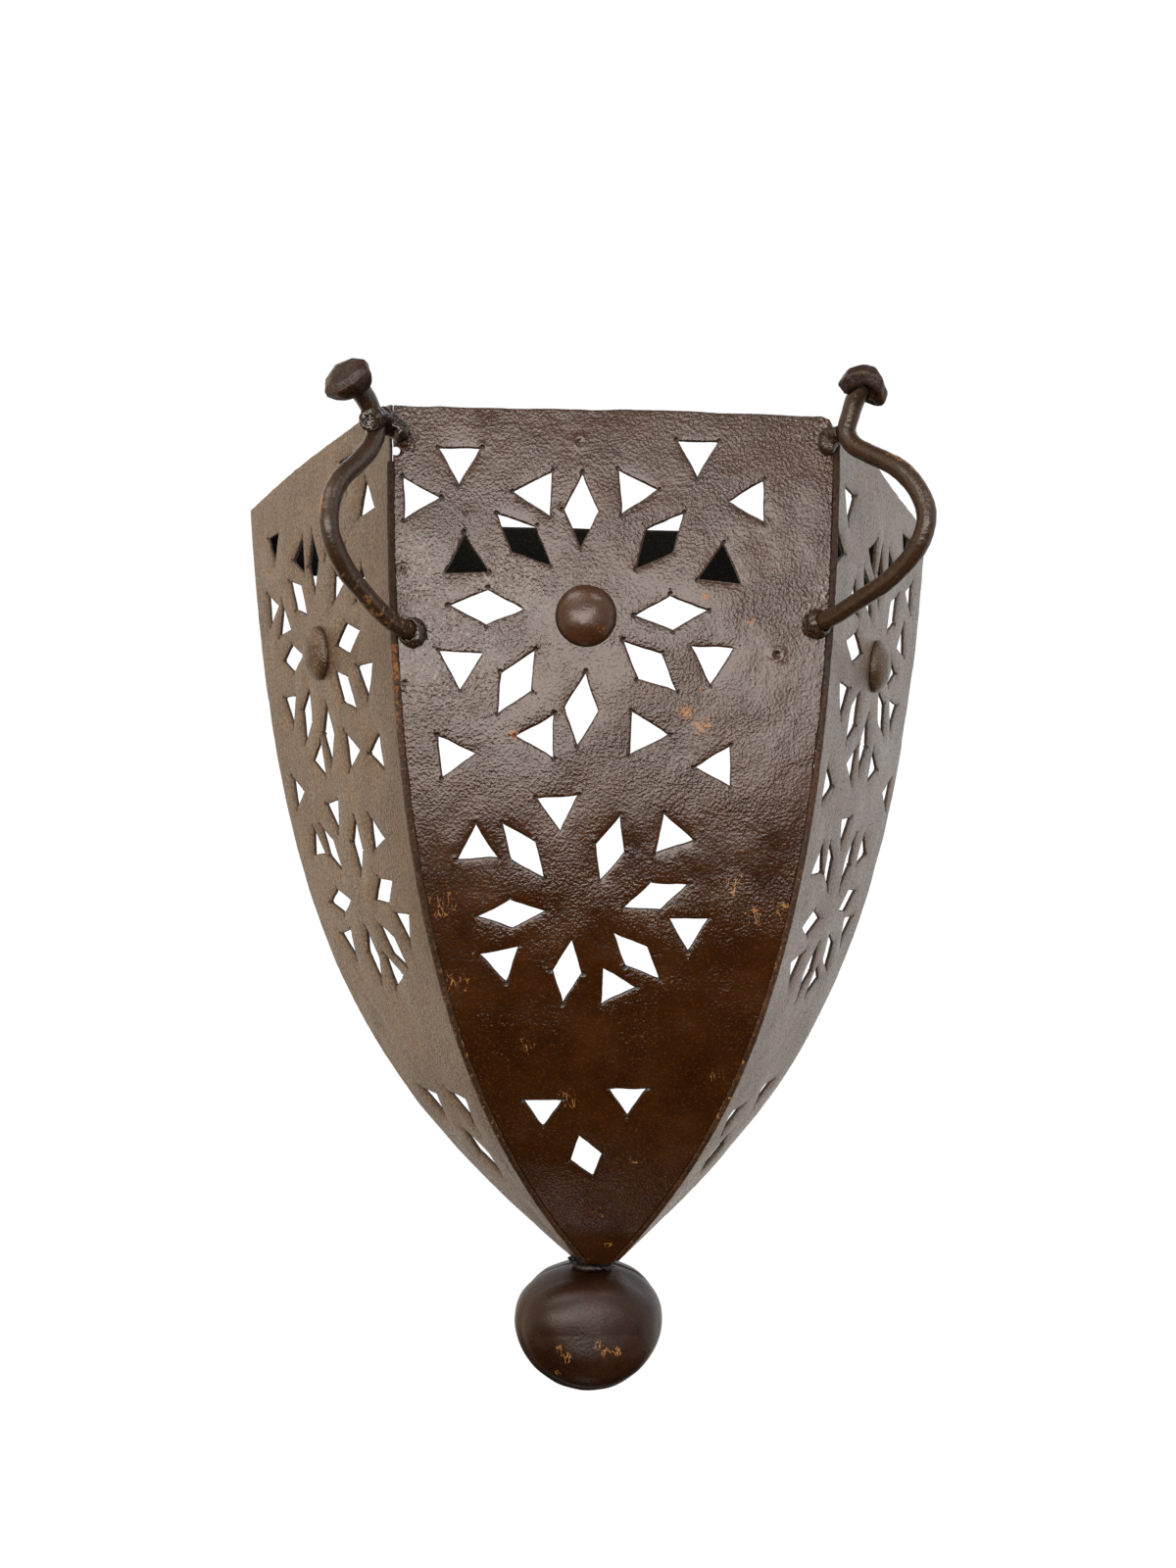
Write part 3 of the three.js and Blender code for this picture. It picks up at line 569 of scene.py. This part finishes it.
def forged(name, node, slot, voxel, dent, dent_size, smoothing=4, sunk=0.0, seed=0, moved=(0, 0, 0),
           look=None, marks=None):
    """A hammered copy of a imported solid: even mesh, soft corners, dents and a little scale.

    It can be sunk below its own surface or moved, in millimetres, and look is a material other than its
    slot's. Marks is a function that gives the values for its points.
    """
    points, normals, faces = remeshed(*welded_copy(node), voxel, smoothing)
    shift = dent * lumps(points, dent_size, seed) + 0.25 * dent * lumps(points, dent_size / 4, seed + 5)
    points = points + normals * (shift - 0.3 * dent - sunk)[:, None]
    points = points + moved
    points[:, 1] = np.minimum(points[:, 1], -wall_gap)
    values = {"crest": crest_of(points, normals, faces)}
    if marks:
        values.update(marks(points, normals))
    add_piece(name, points, faces, slot, node, values, look)


# Shell surface

class BentSheet:
    """One panel's outer face: a straight line across at each height, along a curved middle line."""

    def __init__(self, panel):
        steps = np.linspace(-0.03, 1.0, 1400)
        corners = self.corners(steps)
        left, right = corners[panel], corners[panel + 1]
        self.middle = (left + right) / 2
        self.across = unit(right - left)
        self.half_width = np.linalg.norm(right - left, axis=1) / 2
        along = np.gradient(self.middle, axis=0)
        self.normal = unit(np.cross(unit(along), self.across))
        lengths = np.concatenate([[0], np.cumsum(np.linalg.norm(np.diff(self.middle, axis=0), axis=1))])
        self.drop = lengths - np.interp(0, steps, lengths)
        self.height = self.middle[:, 2]

    @staticmethod
    def corners(steps):
        """The four upright corners of the shell at each step, left to right."""
        back = 1 - steps
        weights = [back**3, 3 * back**2 * steps, 3 * back * steps**2, steps**3]
        handles = [(rim_radius, 0), upper_pull, lower_pull, (tip_radius, -shell_height)]
        radius, height = (sum(w * h[axis] for w, h in zip(weights, handles)) for axis in (0, 1))
        down = -height / shell_height
        half = radius / 2 * (seam_spread + seam_bulge * np.sin(np.pi * down))
        lean = tip_lean * down**3
        front = -radius * seam_depth - lean
        middle = tip_shift * down**3
        rear = [(middle - radius, -lean), (middle + radius, -lean)]
        fore = [(middle - half, front), (middle + half, front)]
        places = [rear[0], *fore, rear[1]]
        return [np.stack([x, y, height], axis=1) for x, y in places]

    def at(self, table, drop):
        return np.stack([np.interp(drop, self.drop, table[:, axis]) for axis in range(3)], axis=1)

    def flat(self, points):
        """Flat sheet measurements of points near the face: across, down from the rim, and height off it."""
        drop = np.interp(-points[:, 2], -self.height, self.drop)
        away = points - self.at(self.middle, drop)
        across = np.sum(away * self.at(self.across, drop), axis=1)
        return across, drop, np.sum(away * self.at(self.normal, drop), axis=1)

    def place(self, across, drop, lift):
        spot = self.at(self.middle, drop)
        spot += self.at(self.across, drop) * np.asarray(across)[:, None]
        return spot + self.at(self.normal, drop) * np.asarray(lift)[:, None]


def outlines(faces, on_face):
    """Closed outlines of the faces whose points are all marked, with the surface on their left."""
    directed = set()
    for face in faces:
        if all(on_face[i] for i in face):
            directed.update(zip(face, face[1:] + face[:1]))
    following = {a: b for a, b in directed if (b, a) not in directed}
    loops = []
    while following:
        first, here = following.popitem()
        loop = [first]
        while here != first:
            loop.append(here)
            here = following.pop(here)
        loops.append(loop)
    return loops


def resampled(loop, spacing):
    """Evenly spaced points along a closed outline that keep its corners, and which of them are corners."""
    step = unit(np.roll(loop, -1, axis=0) - loop)
    turn = np.degrees(np.arccos(np.clip(np.sum(step * np.roll(step, 1, axis=0), axis=1), -1, 1)))
    corners = [i for i in range(len(loop)) if turn[i] > corner_turn]
    sharp = bool(corners)
    corners = corners or [0]
    made, is_corner = [], []
    for start, end in zip(corners, corners[1:] + [corners[0] + len(loop)]):
        stretch = loop[[i % len(loop) for i in range(start, end + 1)]]
        reach = np.concatenate([[0], np.cumsum(np.linalg.norm(np.diff(stretch, axis=0), axis=1))])
        count = max(1, round(reach[-1] / spacing))
        for part in range(count):
            distance = reach[-1] * part / count
            made.append([np.interp(distance, reach, stretch[:, axis]) for axis in (0, 1)])
            is_corner.append(sharp and part == 0)
    return np.array(made), np.array(is_corner)


def pushed(loop, amount):
    """An outline moved to its left, into the sheet."""
    step = unit(np.roll(loop, -1, axis=0) - loop)
    left = np.stack([-step[:, 1], step[:, 0]], axis=1)
    before = np.roll(left, 1, axis=0)
    share = np.maximum(1 + np.sum(left * before, axis=1), 0.35)
    return loop + amount * (left + before) / share[:, None]


def inside(points, loop):
    crossings = np.zeros(len(points), dtype=bool)
    x, y = points.T
    for (x1, y1), (x2, y2) in zip(loop, np.roll(loop, -1, axis=0)):
        if y1 == y2:
            continue
        spans = (y1 > y) != (y2 > y)
        crossings ^= spans & (x < x1 + (y - y1) / (y2 - y1) * (x2 - x1))
    return crossings


def distance_to(points, targets):
    tree = kdtree.KDTree(len(targets))
    for index, (x, y) in enumerate(targets):
        tree.insert((x, y, 0), index)
    tree.balance()
    return np.array([tree.find((x, y, 0))[2] for x, y in points])


def near_any(spots, places):
    """How near points of the flat sheet are to any of some round places: 1 in a middle, fading outwards."""
    nearness = np.zeros(len(spots))
    for across, down, radius in places:
        away = np.hypot(spots[:, 0] - across, spots[:, 1] + down) / radius
        nearness = np.maximum(nearness, np.exp(-(away**2)))
    return nearness


class Panel:
    """One cut and hammered panel, worked out on the flat sheet, across and up, and then bent."""

    def __init__(self, number, node, seed):
        self.number = number
        self.seed = seed
        self.random = np.random.default_rng(seed)
        self.bent = BentSheet(number)
        self.cut_outlines(node)
        self.edge_points = np.vstack([resampled(loop, fine_spacing)[0] for loop, _ in self.loops])
        field = self.even_field()
        self.dents = self.chisel_dents()
        self.fill(field)
        self.hammer()

    def cut_outlines(self, node):
        """The outlines of the border and of the holes, each with its corners, and cut a little unevenly."""
        points, faces = welded_copy(node)
        points = points - [0, 0, rim_height]
        across, drop, off = self.bent.flat(points)
        flat = np.stack([across, -drop], axis=1)
        loops = [flat[loop] for loop in outlines(faces, off > -sheet_thickness / 2)]
        self.loops = [resampled(loop, edge_spacing) for loop in loops if len(loop) > 2]
        for i, (loop, corners) in enumerate(self.loops):
            solid_loop = np.column_stack([loop, np.full(len(loop), 3.0)])
            fine = 0.13 * lumps(solid_loop, 2.2, self.seed)
            broad = 0.35 * lumps(solid_loop, 9, self.seed + 1, octaves=1)
            wobble = fine + broad
            if corners.any():
                wobble *= np.clip(distance_to(loop, loop[corners]) / 3, 0, 1)
            self.loops[i] = (pushed(loop, 1) - loop) * wobble[:, None] + loop, corners
        by_height = sorted(range(len(self.loops)), key=lambda i: -np.ptp(self.loops[i][0][:, 1]))
        self.border_index, *self.hole_indices = by_height
        self.border = self.loops[self.border_index][0]
        self.holes = [self.loops[i] for i in self.hole_indices]

    def even_field(self):
        """Evenly spaced points over the border's whole box, slightly shuffled."""
        low, high = self.border.min(0), self.border.max(0)
        grid_x, grid_y = np.meshgrid(
            np.arange(low[0], high[0], point_spacing), np.arange(low[1], high[1], row_spacing)
        )
        grid_x = grid_x + point_spacing / 2 * (np.arange(len(grid_x)) % 2)[:, None]
        field = np.column_stack([grid_x.ravel(), grid_y.ravel()])
        return field + self.random.uniform(-0.25, 0.25, field.shape) * point_spacing

    def chisel_dents(self):
        """Nicks where a chisel ran on past the corners of the holes, and blind punch marks."""
        dents = []
        for loop, corners in self.holes:
            outward = unit(pushed(loop, 1) - loop)
            for i in np.flatnonzero(corners):
                for chance, reach, scatter, radii, depth in chisel_nicks:
                    if self.random.random() < chance:
                        middle = loop[i] + reach * outward[i] + self.random.normal(0, scatter, 2)
                        dents.append((*middle, self.random.uniform(*radii), depth))
        if self.number == 1:
            dents += [(across, -down, radius, punch_depth) for across, down, radius in punch_marks]
        return np.array(dents)

    def on_sheet(self, candidates, margin):
        """Those of some points that lie on the sheet, further than a margin from its edges."""
        free = inside(candidates, self.border)
        for loop, _ in self.holes:
            free &= ~inside(candidates, loop)
        candidates = candidates[free]
        return candidates[distance_to(candidates, self.edge_points) > margin]

    def fill(self, field):
        """Triangles between the outlines, finer along the edges and round the dents."""
        rounded = [pushed(loop, edge_round) for loop, _ in self.loops]
        edges = []
        start = 0
        for loop in rounded:
            count = len(loop)
            edges += [(start + i, start + (i + 1) % count) for i in range(count)]
            start += count
        rows = np.vstack([pushed(loop, amount) for loop, _ in self.loops for amount in (0.75, 1.5)])
        middles, radii = self.dents[:, :2], self.dents[:, 2:3]
        turns = np.arange(0, 2 * math.pi, math.pi / 5)
        rings = [middles + share * radii * np.array([math.cos(turn), math.sin(turn)])
                 for share in (0.45, 0.9, 1.35) for turn in turns]

        near_dents = self.on_sheet(np.vstack([middles, *rings]), edge_round + 0.2)
        rows = self.on_sheet(rows, 0.6)
        field = self.on_sheet(field, 2.1)
        rows = rows[distance_to(rows, near_dents) > 0.3]
        field = field[distance_to(field, near_dents) > 0.5]
        every = np.vstack([*rounded, near_dents, rows, field])
        spots, _, triangles, origins, *_ = delaunay_2d_cdt([Vector(p) for p in every], edges, [], 0, 1e-5)
        self.spots = np.array([tuple(p) for p in spots])
        self.new_index = {old: new for new, olds in enumerate(origins) for old in olds}
        triangles = np.array(triangles)
        centres = self.spots[triangles].mean(axis=1)
        solid = inside(centres, rounded[self.border_index])
        for i in self.hole_indices:
            solid &= ~inside(centres, rounded[i])
        self.triangles = triangles[solid]

    def hammer(self):
        """Height off the smooth face: broad hammer work, dished holes, dents, and nothing at the seams."""
        x, y = self.spots.T
        hole_points = np.vstack([resampled(loop, fine_spacing)[0] for loop, _ in self.holes])
        hole_distance = distance_to(self.spots, hole_points)
        edge_distance = distance_to(self.spots, self.edge_points)
        dented = np.zeros(len(x))
        # Dirt and painted shade: darker along the edges of the holes and in the middles of the dents
        self.grime_and_shade = 0.75 * np.exp(-hole_distance / 0.5)
        for dent_x, dent_y, radius, depth in self.dents:
            away = np.hypot(x - dent_x, y - dent_y) / radius
            rim, pit = np.exp(-(((away - 1.1) / 0.35) ** 2)), np.exp(-((away / 0.6) ** 2))
            dented += radius * (0.22 * rim - 0.55 * depth * pit)
            self.grime_and_shade = np.maximum(self.grime_and_shade, depth * np.exp(-((away / 0.85) ** 2)))

        half = np.interp(-y, self.bent.drop, self.bent.half_width)
        seam_distance = (half - x, half - np.abs(x), half + x)[self.number]
        self.seam_distance = np.maximum(seam_distance, 0)
        calm = np.clip(self.seam_distance / 9, 0, 1)
        solid_spots = np.column_stack([self.spots, np.full(len(x), 7.0 * self.number)])
        broad = 0.45 * lumps(solid_spots, 34, self.seed)
        fine = 0.26 * lumps(solid_spots, 11, self.seed + 3)
        dished = dish_depth[self.number] * np.exp(-hole_distance / dish_width[self.number])
        ragged = 0.09 * lumps(solid_spots, 1.6, self.seed + 9) * np.exp(-edge_distance / 1.2)
        self.lift = np.minimum(calm * (broad + fine - dished) + dented + ragged, highest_lift)

    def bend(self):
        """Points and faces of the bent sheet: its outer face, its inner face and the walls of its edges."""
        across, drop = self.spots[:, 0], -self.spots[:, 1]
        lifts = (self.lift, self.lift - sheet_thickness)
        positions = [self.bent.place(across, drop, lift) for lift in lifts]
        count = len(self.spots)
        faces = [tuple(t) for t in self.triangles]
        faces += [tuple(count + i for i in t[::-1]) for t in self.triangles]
        total = 2 * count
        start = 0
        for loop, _ in self.loops:
            size = len(loop)
            ids = [self.new_index[start + i] for i in range(size)]
            walls = []
            for depth in (edge_round, sheet_thickness - edge_round):
                positions.append(self.bent.place(loop[:, 0], -loop[:, 1], self.lift[ids] - depth))
                walls.append(list(range(total, total + size)))
                total += size
            rows_of_ids = [ids, *walls, [count + i for i in ids]]
            for upper, lower in zip(rows_of_ids, rows_of_ids[1:]):
                for i in range(size):
                    j = (i + 1) % size
                    faces.append((upper[j], upper[i], lower[i], lower[j]))
            start += size
        points = np.vstack(positions) + [0, 0, rim_height]
        points[:, 1] = np.minimum(points[:, 1], -wall_gap)
        return points, faces

    def marks(self):
        """Grime and painted shade, rust and scratches for the points of one face."""
        drop = -self.spots[:, 1]
        on_left = self.number == 0 or (self.spots[:, 0] < 0) & (self.number == 1)
        rusty_seam = np.interp(drop, (68, 80, 125, 175), (0, 0.6, 0.5, 0.15)) * on_left
        flecked_seam = np.interp(drop, (150, 190, 300, 330), (0, 0.5, 0.5, 0.2))
        made = {
            "grime_and_shade": self.grime_and_shade,
            "rust": rusty_seam * np.exp(-self.seam_distance / 1.6),
            "scratch": flecked_seam * np.exp(-self.seam_distance / 3.5),
            # Painted shade: the left panel darker towards its seam with the front
            "shade": 0.62 * np.exp(-self.seam_distance / 26) * (self.number == 0),
        }
        if self.number == 1:
            made["rust"] = np.maximum(made["rust"], 0.7 * near_any(self.spots, rust_spots))
            made["scratch"] = np.maximum(made["scratch"], 0.55 * near_any(self.spots, scratched_spots))
            made["pebbled"] = near_any(self.spots, pebbled_spots)
        else:
            # Painted shade: the side panels darker along their seams
            made["grime_and_shade"] = np.maximum(made["grime_and_shade"], 0.34 * np.exp(-self.seam_distance / 8))
        return made


def make_panel(number, node, slot, seed):
    panel = Panel(number, node, seed)
    points, faces = panel.bend()
    in_walls = len(points) - 2 * len(panel.spots)
    # The cut walls of the edges: dark with dirt and painted shade, and a little rust
    wall_marks = {"grime_and_shade": 0.8, "rust": 0.2}
    marks = {key: np.concatenate([face, face, np.full(in_walls, wall_marks.get(key, 0))])
             for key, face in panel.marks().items()}
    add_piece(f"{node}_sheet", points, faces, slot, node, marks)


def make_stud(side, panel, slot, marks_at):
    """A riveted stud: a smooth dome outside, its shank through the sheet and its peened tail inside."""
    node = f"{side}_boss"
    low, high = packed_box(node)
    bent = BentSheet(panel)
    across, drop, _ = bent.flat(((low + high) / 2 - [0, 0, rim_height])[None])
    foot = bent.place(across, drop, [0.0])[0] + [0, 0, rim_height]
    sideways = bent.at(bent.across, drop)[0]
    out = bent.at(bent.normal, drop)[0]
    upright = np.cross(sideways, -out)

    # Radius and height off the sheet, from the tail to the dome
    back = -sheet_thickness - tail_gap
    angles = np.linspace(math.pi / 2, 0, 22)[:-1]
    tail = [(tail_radius * math.sin(a), back - tail_height * math.cos(a)) for a in angles[::-3]]
    dome = [(stud_radius * math.sin(a), dome_gap + (stud_height - dome_gap) * math.cos(a)) for a in angles]
    profile = [*tail, (shank_radius, back), (shank_radius, dome_gap), *dome]

    sides = 72
    turn = np.linspace(0, 2 * np.pi, sides, endpoint=False)
    rings = []
    for radius, height in profile:
        ring = np.column_stack([radius * np.cos(turn), radius * np.sin(turn), np.full(sides, height)])
        worn = 0.16 * lumps(ring + [0, 0, 9.0 * panel], 5.5, 41) * min(1, radius / calm_radius)
        lifted = np.outer(worn * (height > 2 * dome_gap), [0, 0, 1])
        rings.append(ring * (1 + worn / stud_radius)[:, None] + lifted)
    local = np.vstack([*rings, [0, 0, profile[0][1]], [0, 0, stud_height]])
    faces = tube_faces(len(rings), sides)
    first_end, last_end = len(local) - 2, len(local) - 1
    last_ring = (len(rings) - 1) * sides
    for i in range(sides):
        j = (i + 1) % sides
        faces.append((first_end, j, i))
        faces.append((last_end, last_ring + i, last_ring + j))
    points = foot + local[:, :1] * sideways + local[:, 1:2] * upright + local[:, 2:] * out
    add_piece(f"{side}_stud", points, faces, slot, node, marks_at(local))


def foot_of(local):
    """How near points of a stud are to its foot, where the dome meets the sheet: 1 at the foot itself."""
    radius = np.hypot(local[:, 0], local[:, 1])
    return np.exp(-np.abs(stud_radius - radius) / 0.7)


def front_stud_marks(local):
    """Painted shade at the foot, where the dome meets the sheet, with a few gold flecks low on its right."""
    return {"grime_and_shade": 0.75 * foot_of(local), "scratch": 0.5 * near_any(local, [(4.5, 5, 4)])}


def side_stud_marks(local):
    """Painted shade: the whole stud darker, its foot dark, and a dark ring round its middle for a hollow
    that the smooth dome doesn't have.
    """
    radius = np.hypot(local[:, 0], local[:, 1])
    painted_hollow_shade = np.exp(-(((radius - 5) / 2.4) ** 2))
    grime_and_shade = np.maximum(0.6 * foot_of(local), 0.45 * painted_hollow_shade)
    return {"grime_and_shade": grime_and_shade, "shade": np.full(len(local), 0.35)}


# Ball

def half_ball(name, node, facing, blunt=0.0, rise=0.0, meeting=(0, 0)):
    """A hammered half shell. The front half, which faces -1, has a band, a crease and a dome.

    Blunt makes it blunter, most of all below its middle, rise lifts its foremost point, and meeting moves
    its seam sideways and up.
    """
    low, high = packed_box(node)
    middle = (low + high) / 2
    seam_y = high[1] if facing < 0 else low[1]
    half_width, depth, half_height = (high - low) / (2, 1, 2) - ball_room
    turn = np.linspace(0, 2 * np.pi, ball_sides, endpoint=False)
    fuller = 1 + 0.125 * np.sin(turn)
    below = np.clip(-np.sin(turn), 0, 1)
    in_band = (0.15 + 0.85 * np.clip(-np.cos(turn - band_turn), 0, 1)) * (facing < 0)

    # Rings of the inner face from its foremost point to the seam, then of the outer face and back again
    angles = [np.pi / 2 * level / (ball_levels - 0.5) for level in range(ball_levels)]
    steps = [(angle, ball_wall) for angle in reversed(angles)] + [(angle, 0) for angle in angles]
    rings, grime_and_shade, scratch = [], [], []
    for angle, inwards in steps:
        degrees = math.degrees(angle)
        around = math.cos(angle) ** (1 - blunt * (0.3 + 0.7 * below))
        out = math.sin(angle) ** (1 - 0.6 * blunt)
        inset = np.interp(degrees, dome_angles, dome_insets) * in_band + inwards
        shift_x, shift_z = math.exp(-((degrees / seam_fade) ** 2)) * np.array(meeting)
        x = (half_width - inset) * around * np.cos(turn) * fuller + shift_x
        z = (half_height - inset) * around * np.sin(turn) + shift_z + rise * out**2
        ring = np.column_stack([x, np.full(ball_sides, facing * (depth - inwards) * out), z])
        dents = 0.8 * lumps(ring, 16, 31) + 0.06 * lumps(ring, 4, 33)
        ring += unit(ring) * dents[:, None]
        ring[:, 1] = facing * np.maximum(facing * ring[:, 1], 0)
        rings.append(ring)
        # Painted shade: a dark line along the crease of the front half
        grime_and_shade.append(0.7 * math.exp(-(((degrees - crease_angle) / crease_width) ** 2)) * in_band)
        scratch.append(0.68 * near_any(np.column_stack([x, z]), ball_scratches))

    faces = tube_faces(len(rings), ball_sides)
    last_ring = (len(rings) - 1) * ball_sides
    faces.append(list(range(ball_sides))[::-1])
    faces.append([last_ring + i for i in range(ball_sides)])
    if facing > 0:
        faces = [face[::-1] for face in faces]
    points = np.vstack(rings) + (middle[0], seam_y, middle[2])
    points = np.clip(points, low - (2, 0, 2), high + (2, 0, 2))
    marks = {"grime_and_shade": np.concatenate(grime_and_shade), "scratch": np.concatenate(scratch)}
    add_piece(name, points, faces, "ball_iron", node, marks)


# Wear of the forged pieces

def specked_weld(points, _):
    return {"worn": np.full(len(points), 0.46), "grime_and_shade": np.full(len(points), 0.2)}


def burnt(points, _):
    return {"grime_and_shade": np.full(len(points), 0.8)}


def left_rod_wear(points, normals):
    """Worn to gold along the lower half and along the outer edge of the upper half."""
    height = points[:, 2]
    lower = np.interp(height, (-58, -52, -42, -26), (0.49, 0.52, 0.48, 0))
    outer = np.interp(height, (-34, -26, 4, 12), (0, 0.58, 0.6, 0)) * np.clip(-1.5 * normals[:, 0], 0, 1)
    return {"worn": np.maximum(lower, outer)}


def right_rod_wear(points, normals):
    """Worn to gold along the upper outer edge."""
    height = points[:, 2]
    outer = np.interp(height, (-25, -18, 2, 8), (0.1, 0.55, 0.6, 0)) * np.clip(1.5 * normals[:, 2], 0, 1)
    return {"worn": outer}


def rubbed_seam(height):
    """Rubbed to gold in places, from well below the middle of the shell down to its tip."""
    return np.interp(height, (-250, -220, -120, -90), (0.42, 0.5, 0.42, 0))


def left_seam_wear(points, _):
    """Rusty below the lower weld, rubbed to gold further down, and darker near the top."""
    height = points[:, 2]
    return {
        "rust": np.interp(height, (-140, -85, -60, -52), (0.3, 0.5, 0.6, 0)),
        "worn": rubbed_seam(height),
        "grime_and_shade": np.interp(height, (-80, -50), (0, 0.5)),
    }


def right_seam_wear(points, _):
    """Rubbed to gold low down, and darker near the top."""
    height = points[:, 2]
    return {"worn": rubbed_seam(height), "grime_and_shade": np.interp(height, (-120, -50), (0, 0.5))}


# Building

def build():
    make_camera()
    make_world()
    for light in studio_lights:
        make_light(*light)
    make_floor()

    make_panel(0, "left_panel", "side_sheet", seed=21)
    make_panel(1, "front_panel", "front_sheet", seed=22)
    make_panel(2, "right_panel", "side_sheet", seed=23)
    sides = ("left", left_rod_wear, (-2, -7.5, 0.5)), ("right", right_rod_wear, (0, 0, 0))
    for side, rod_wear, moved in sides:
        forged(f"{side}_rod", f"{side}_scroll", "rod_iron", voxel=0.5, dent=0.22, dent_size=7, seed=4,
               marks=rod_wear)
        forged(f"{side}_head", f"{side}_finial", "head_iron", voxel=0.45, dent=0.3, dent_size=6, seed=6)
        forged(f"{side}_top_weld", f"{side}_upper_weld", "weld_metal", voxel=0.35, dent=1.2, dent_size=4.2,
               sunk=-0.6, moved=moved)
        forged(f"{side}_foot_weld", f"{side}_lower_weld", "weld_metal", voxel=0.35, dent=0.4, dent_size=3,
               marks=specked_weld)
    make_stud("left", 0, "side_sheet", side_stud_marks)
    make_stud("front", 1, "stud_iron", front_stud_marks)
    make_stud("right", 2, "side_sheet", side_stud_marks)
    half_ball("front_half_ball", "ball_front", facing=-1, blunt=0.5, rise=6, meeting=(0.6, 1.2))
    half_ball("rear_half_ball", "ball_rear", facing=1)
    for side, seam_wear in (("left", left_seam_wear), ("right", right_seam_wear)):
        node = f"{side}_seam_weld"
        forged(f"{node}_bead", node, "weld_metal", voxel=0.4, dent=0.15, dent_size=5, smoothing=3, sunk=0.12,
               look="seam_metal", marks=seam_wear)
    forged("tip_lump", "tip_weld", "weld_metal", voxel=0.4, dent=1.4, dent_size=5, sunk=0.8, marks=burnt)
    forged("wall_strap", "back_strap", "strap_iron", voxel=0.8, dent=0.2, dent_size=25, smoothing=1)
    for side in ("left", "right"):
        node = f"{side}_strap_weld"
        forged(f"{node}_bead", node, "weld_metal", voxel=0.4, dent=0.3, dent_size=3)
    bpy.context.scene.view_settings.view_transform = "Standard"


build()
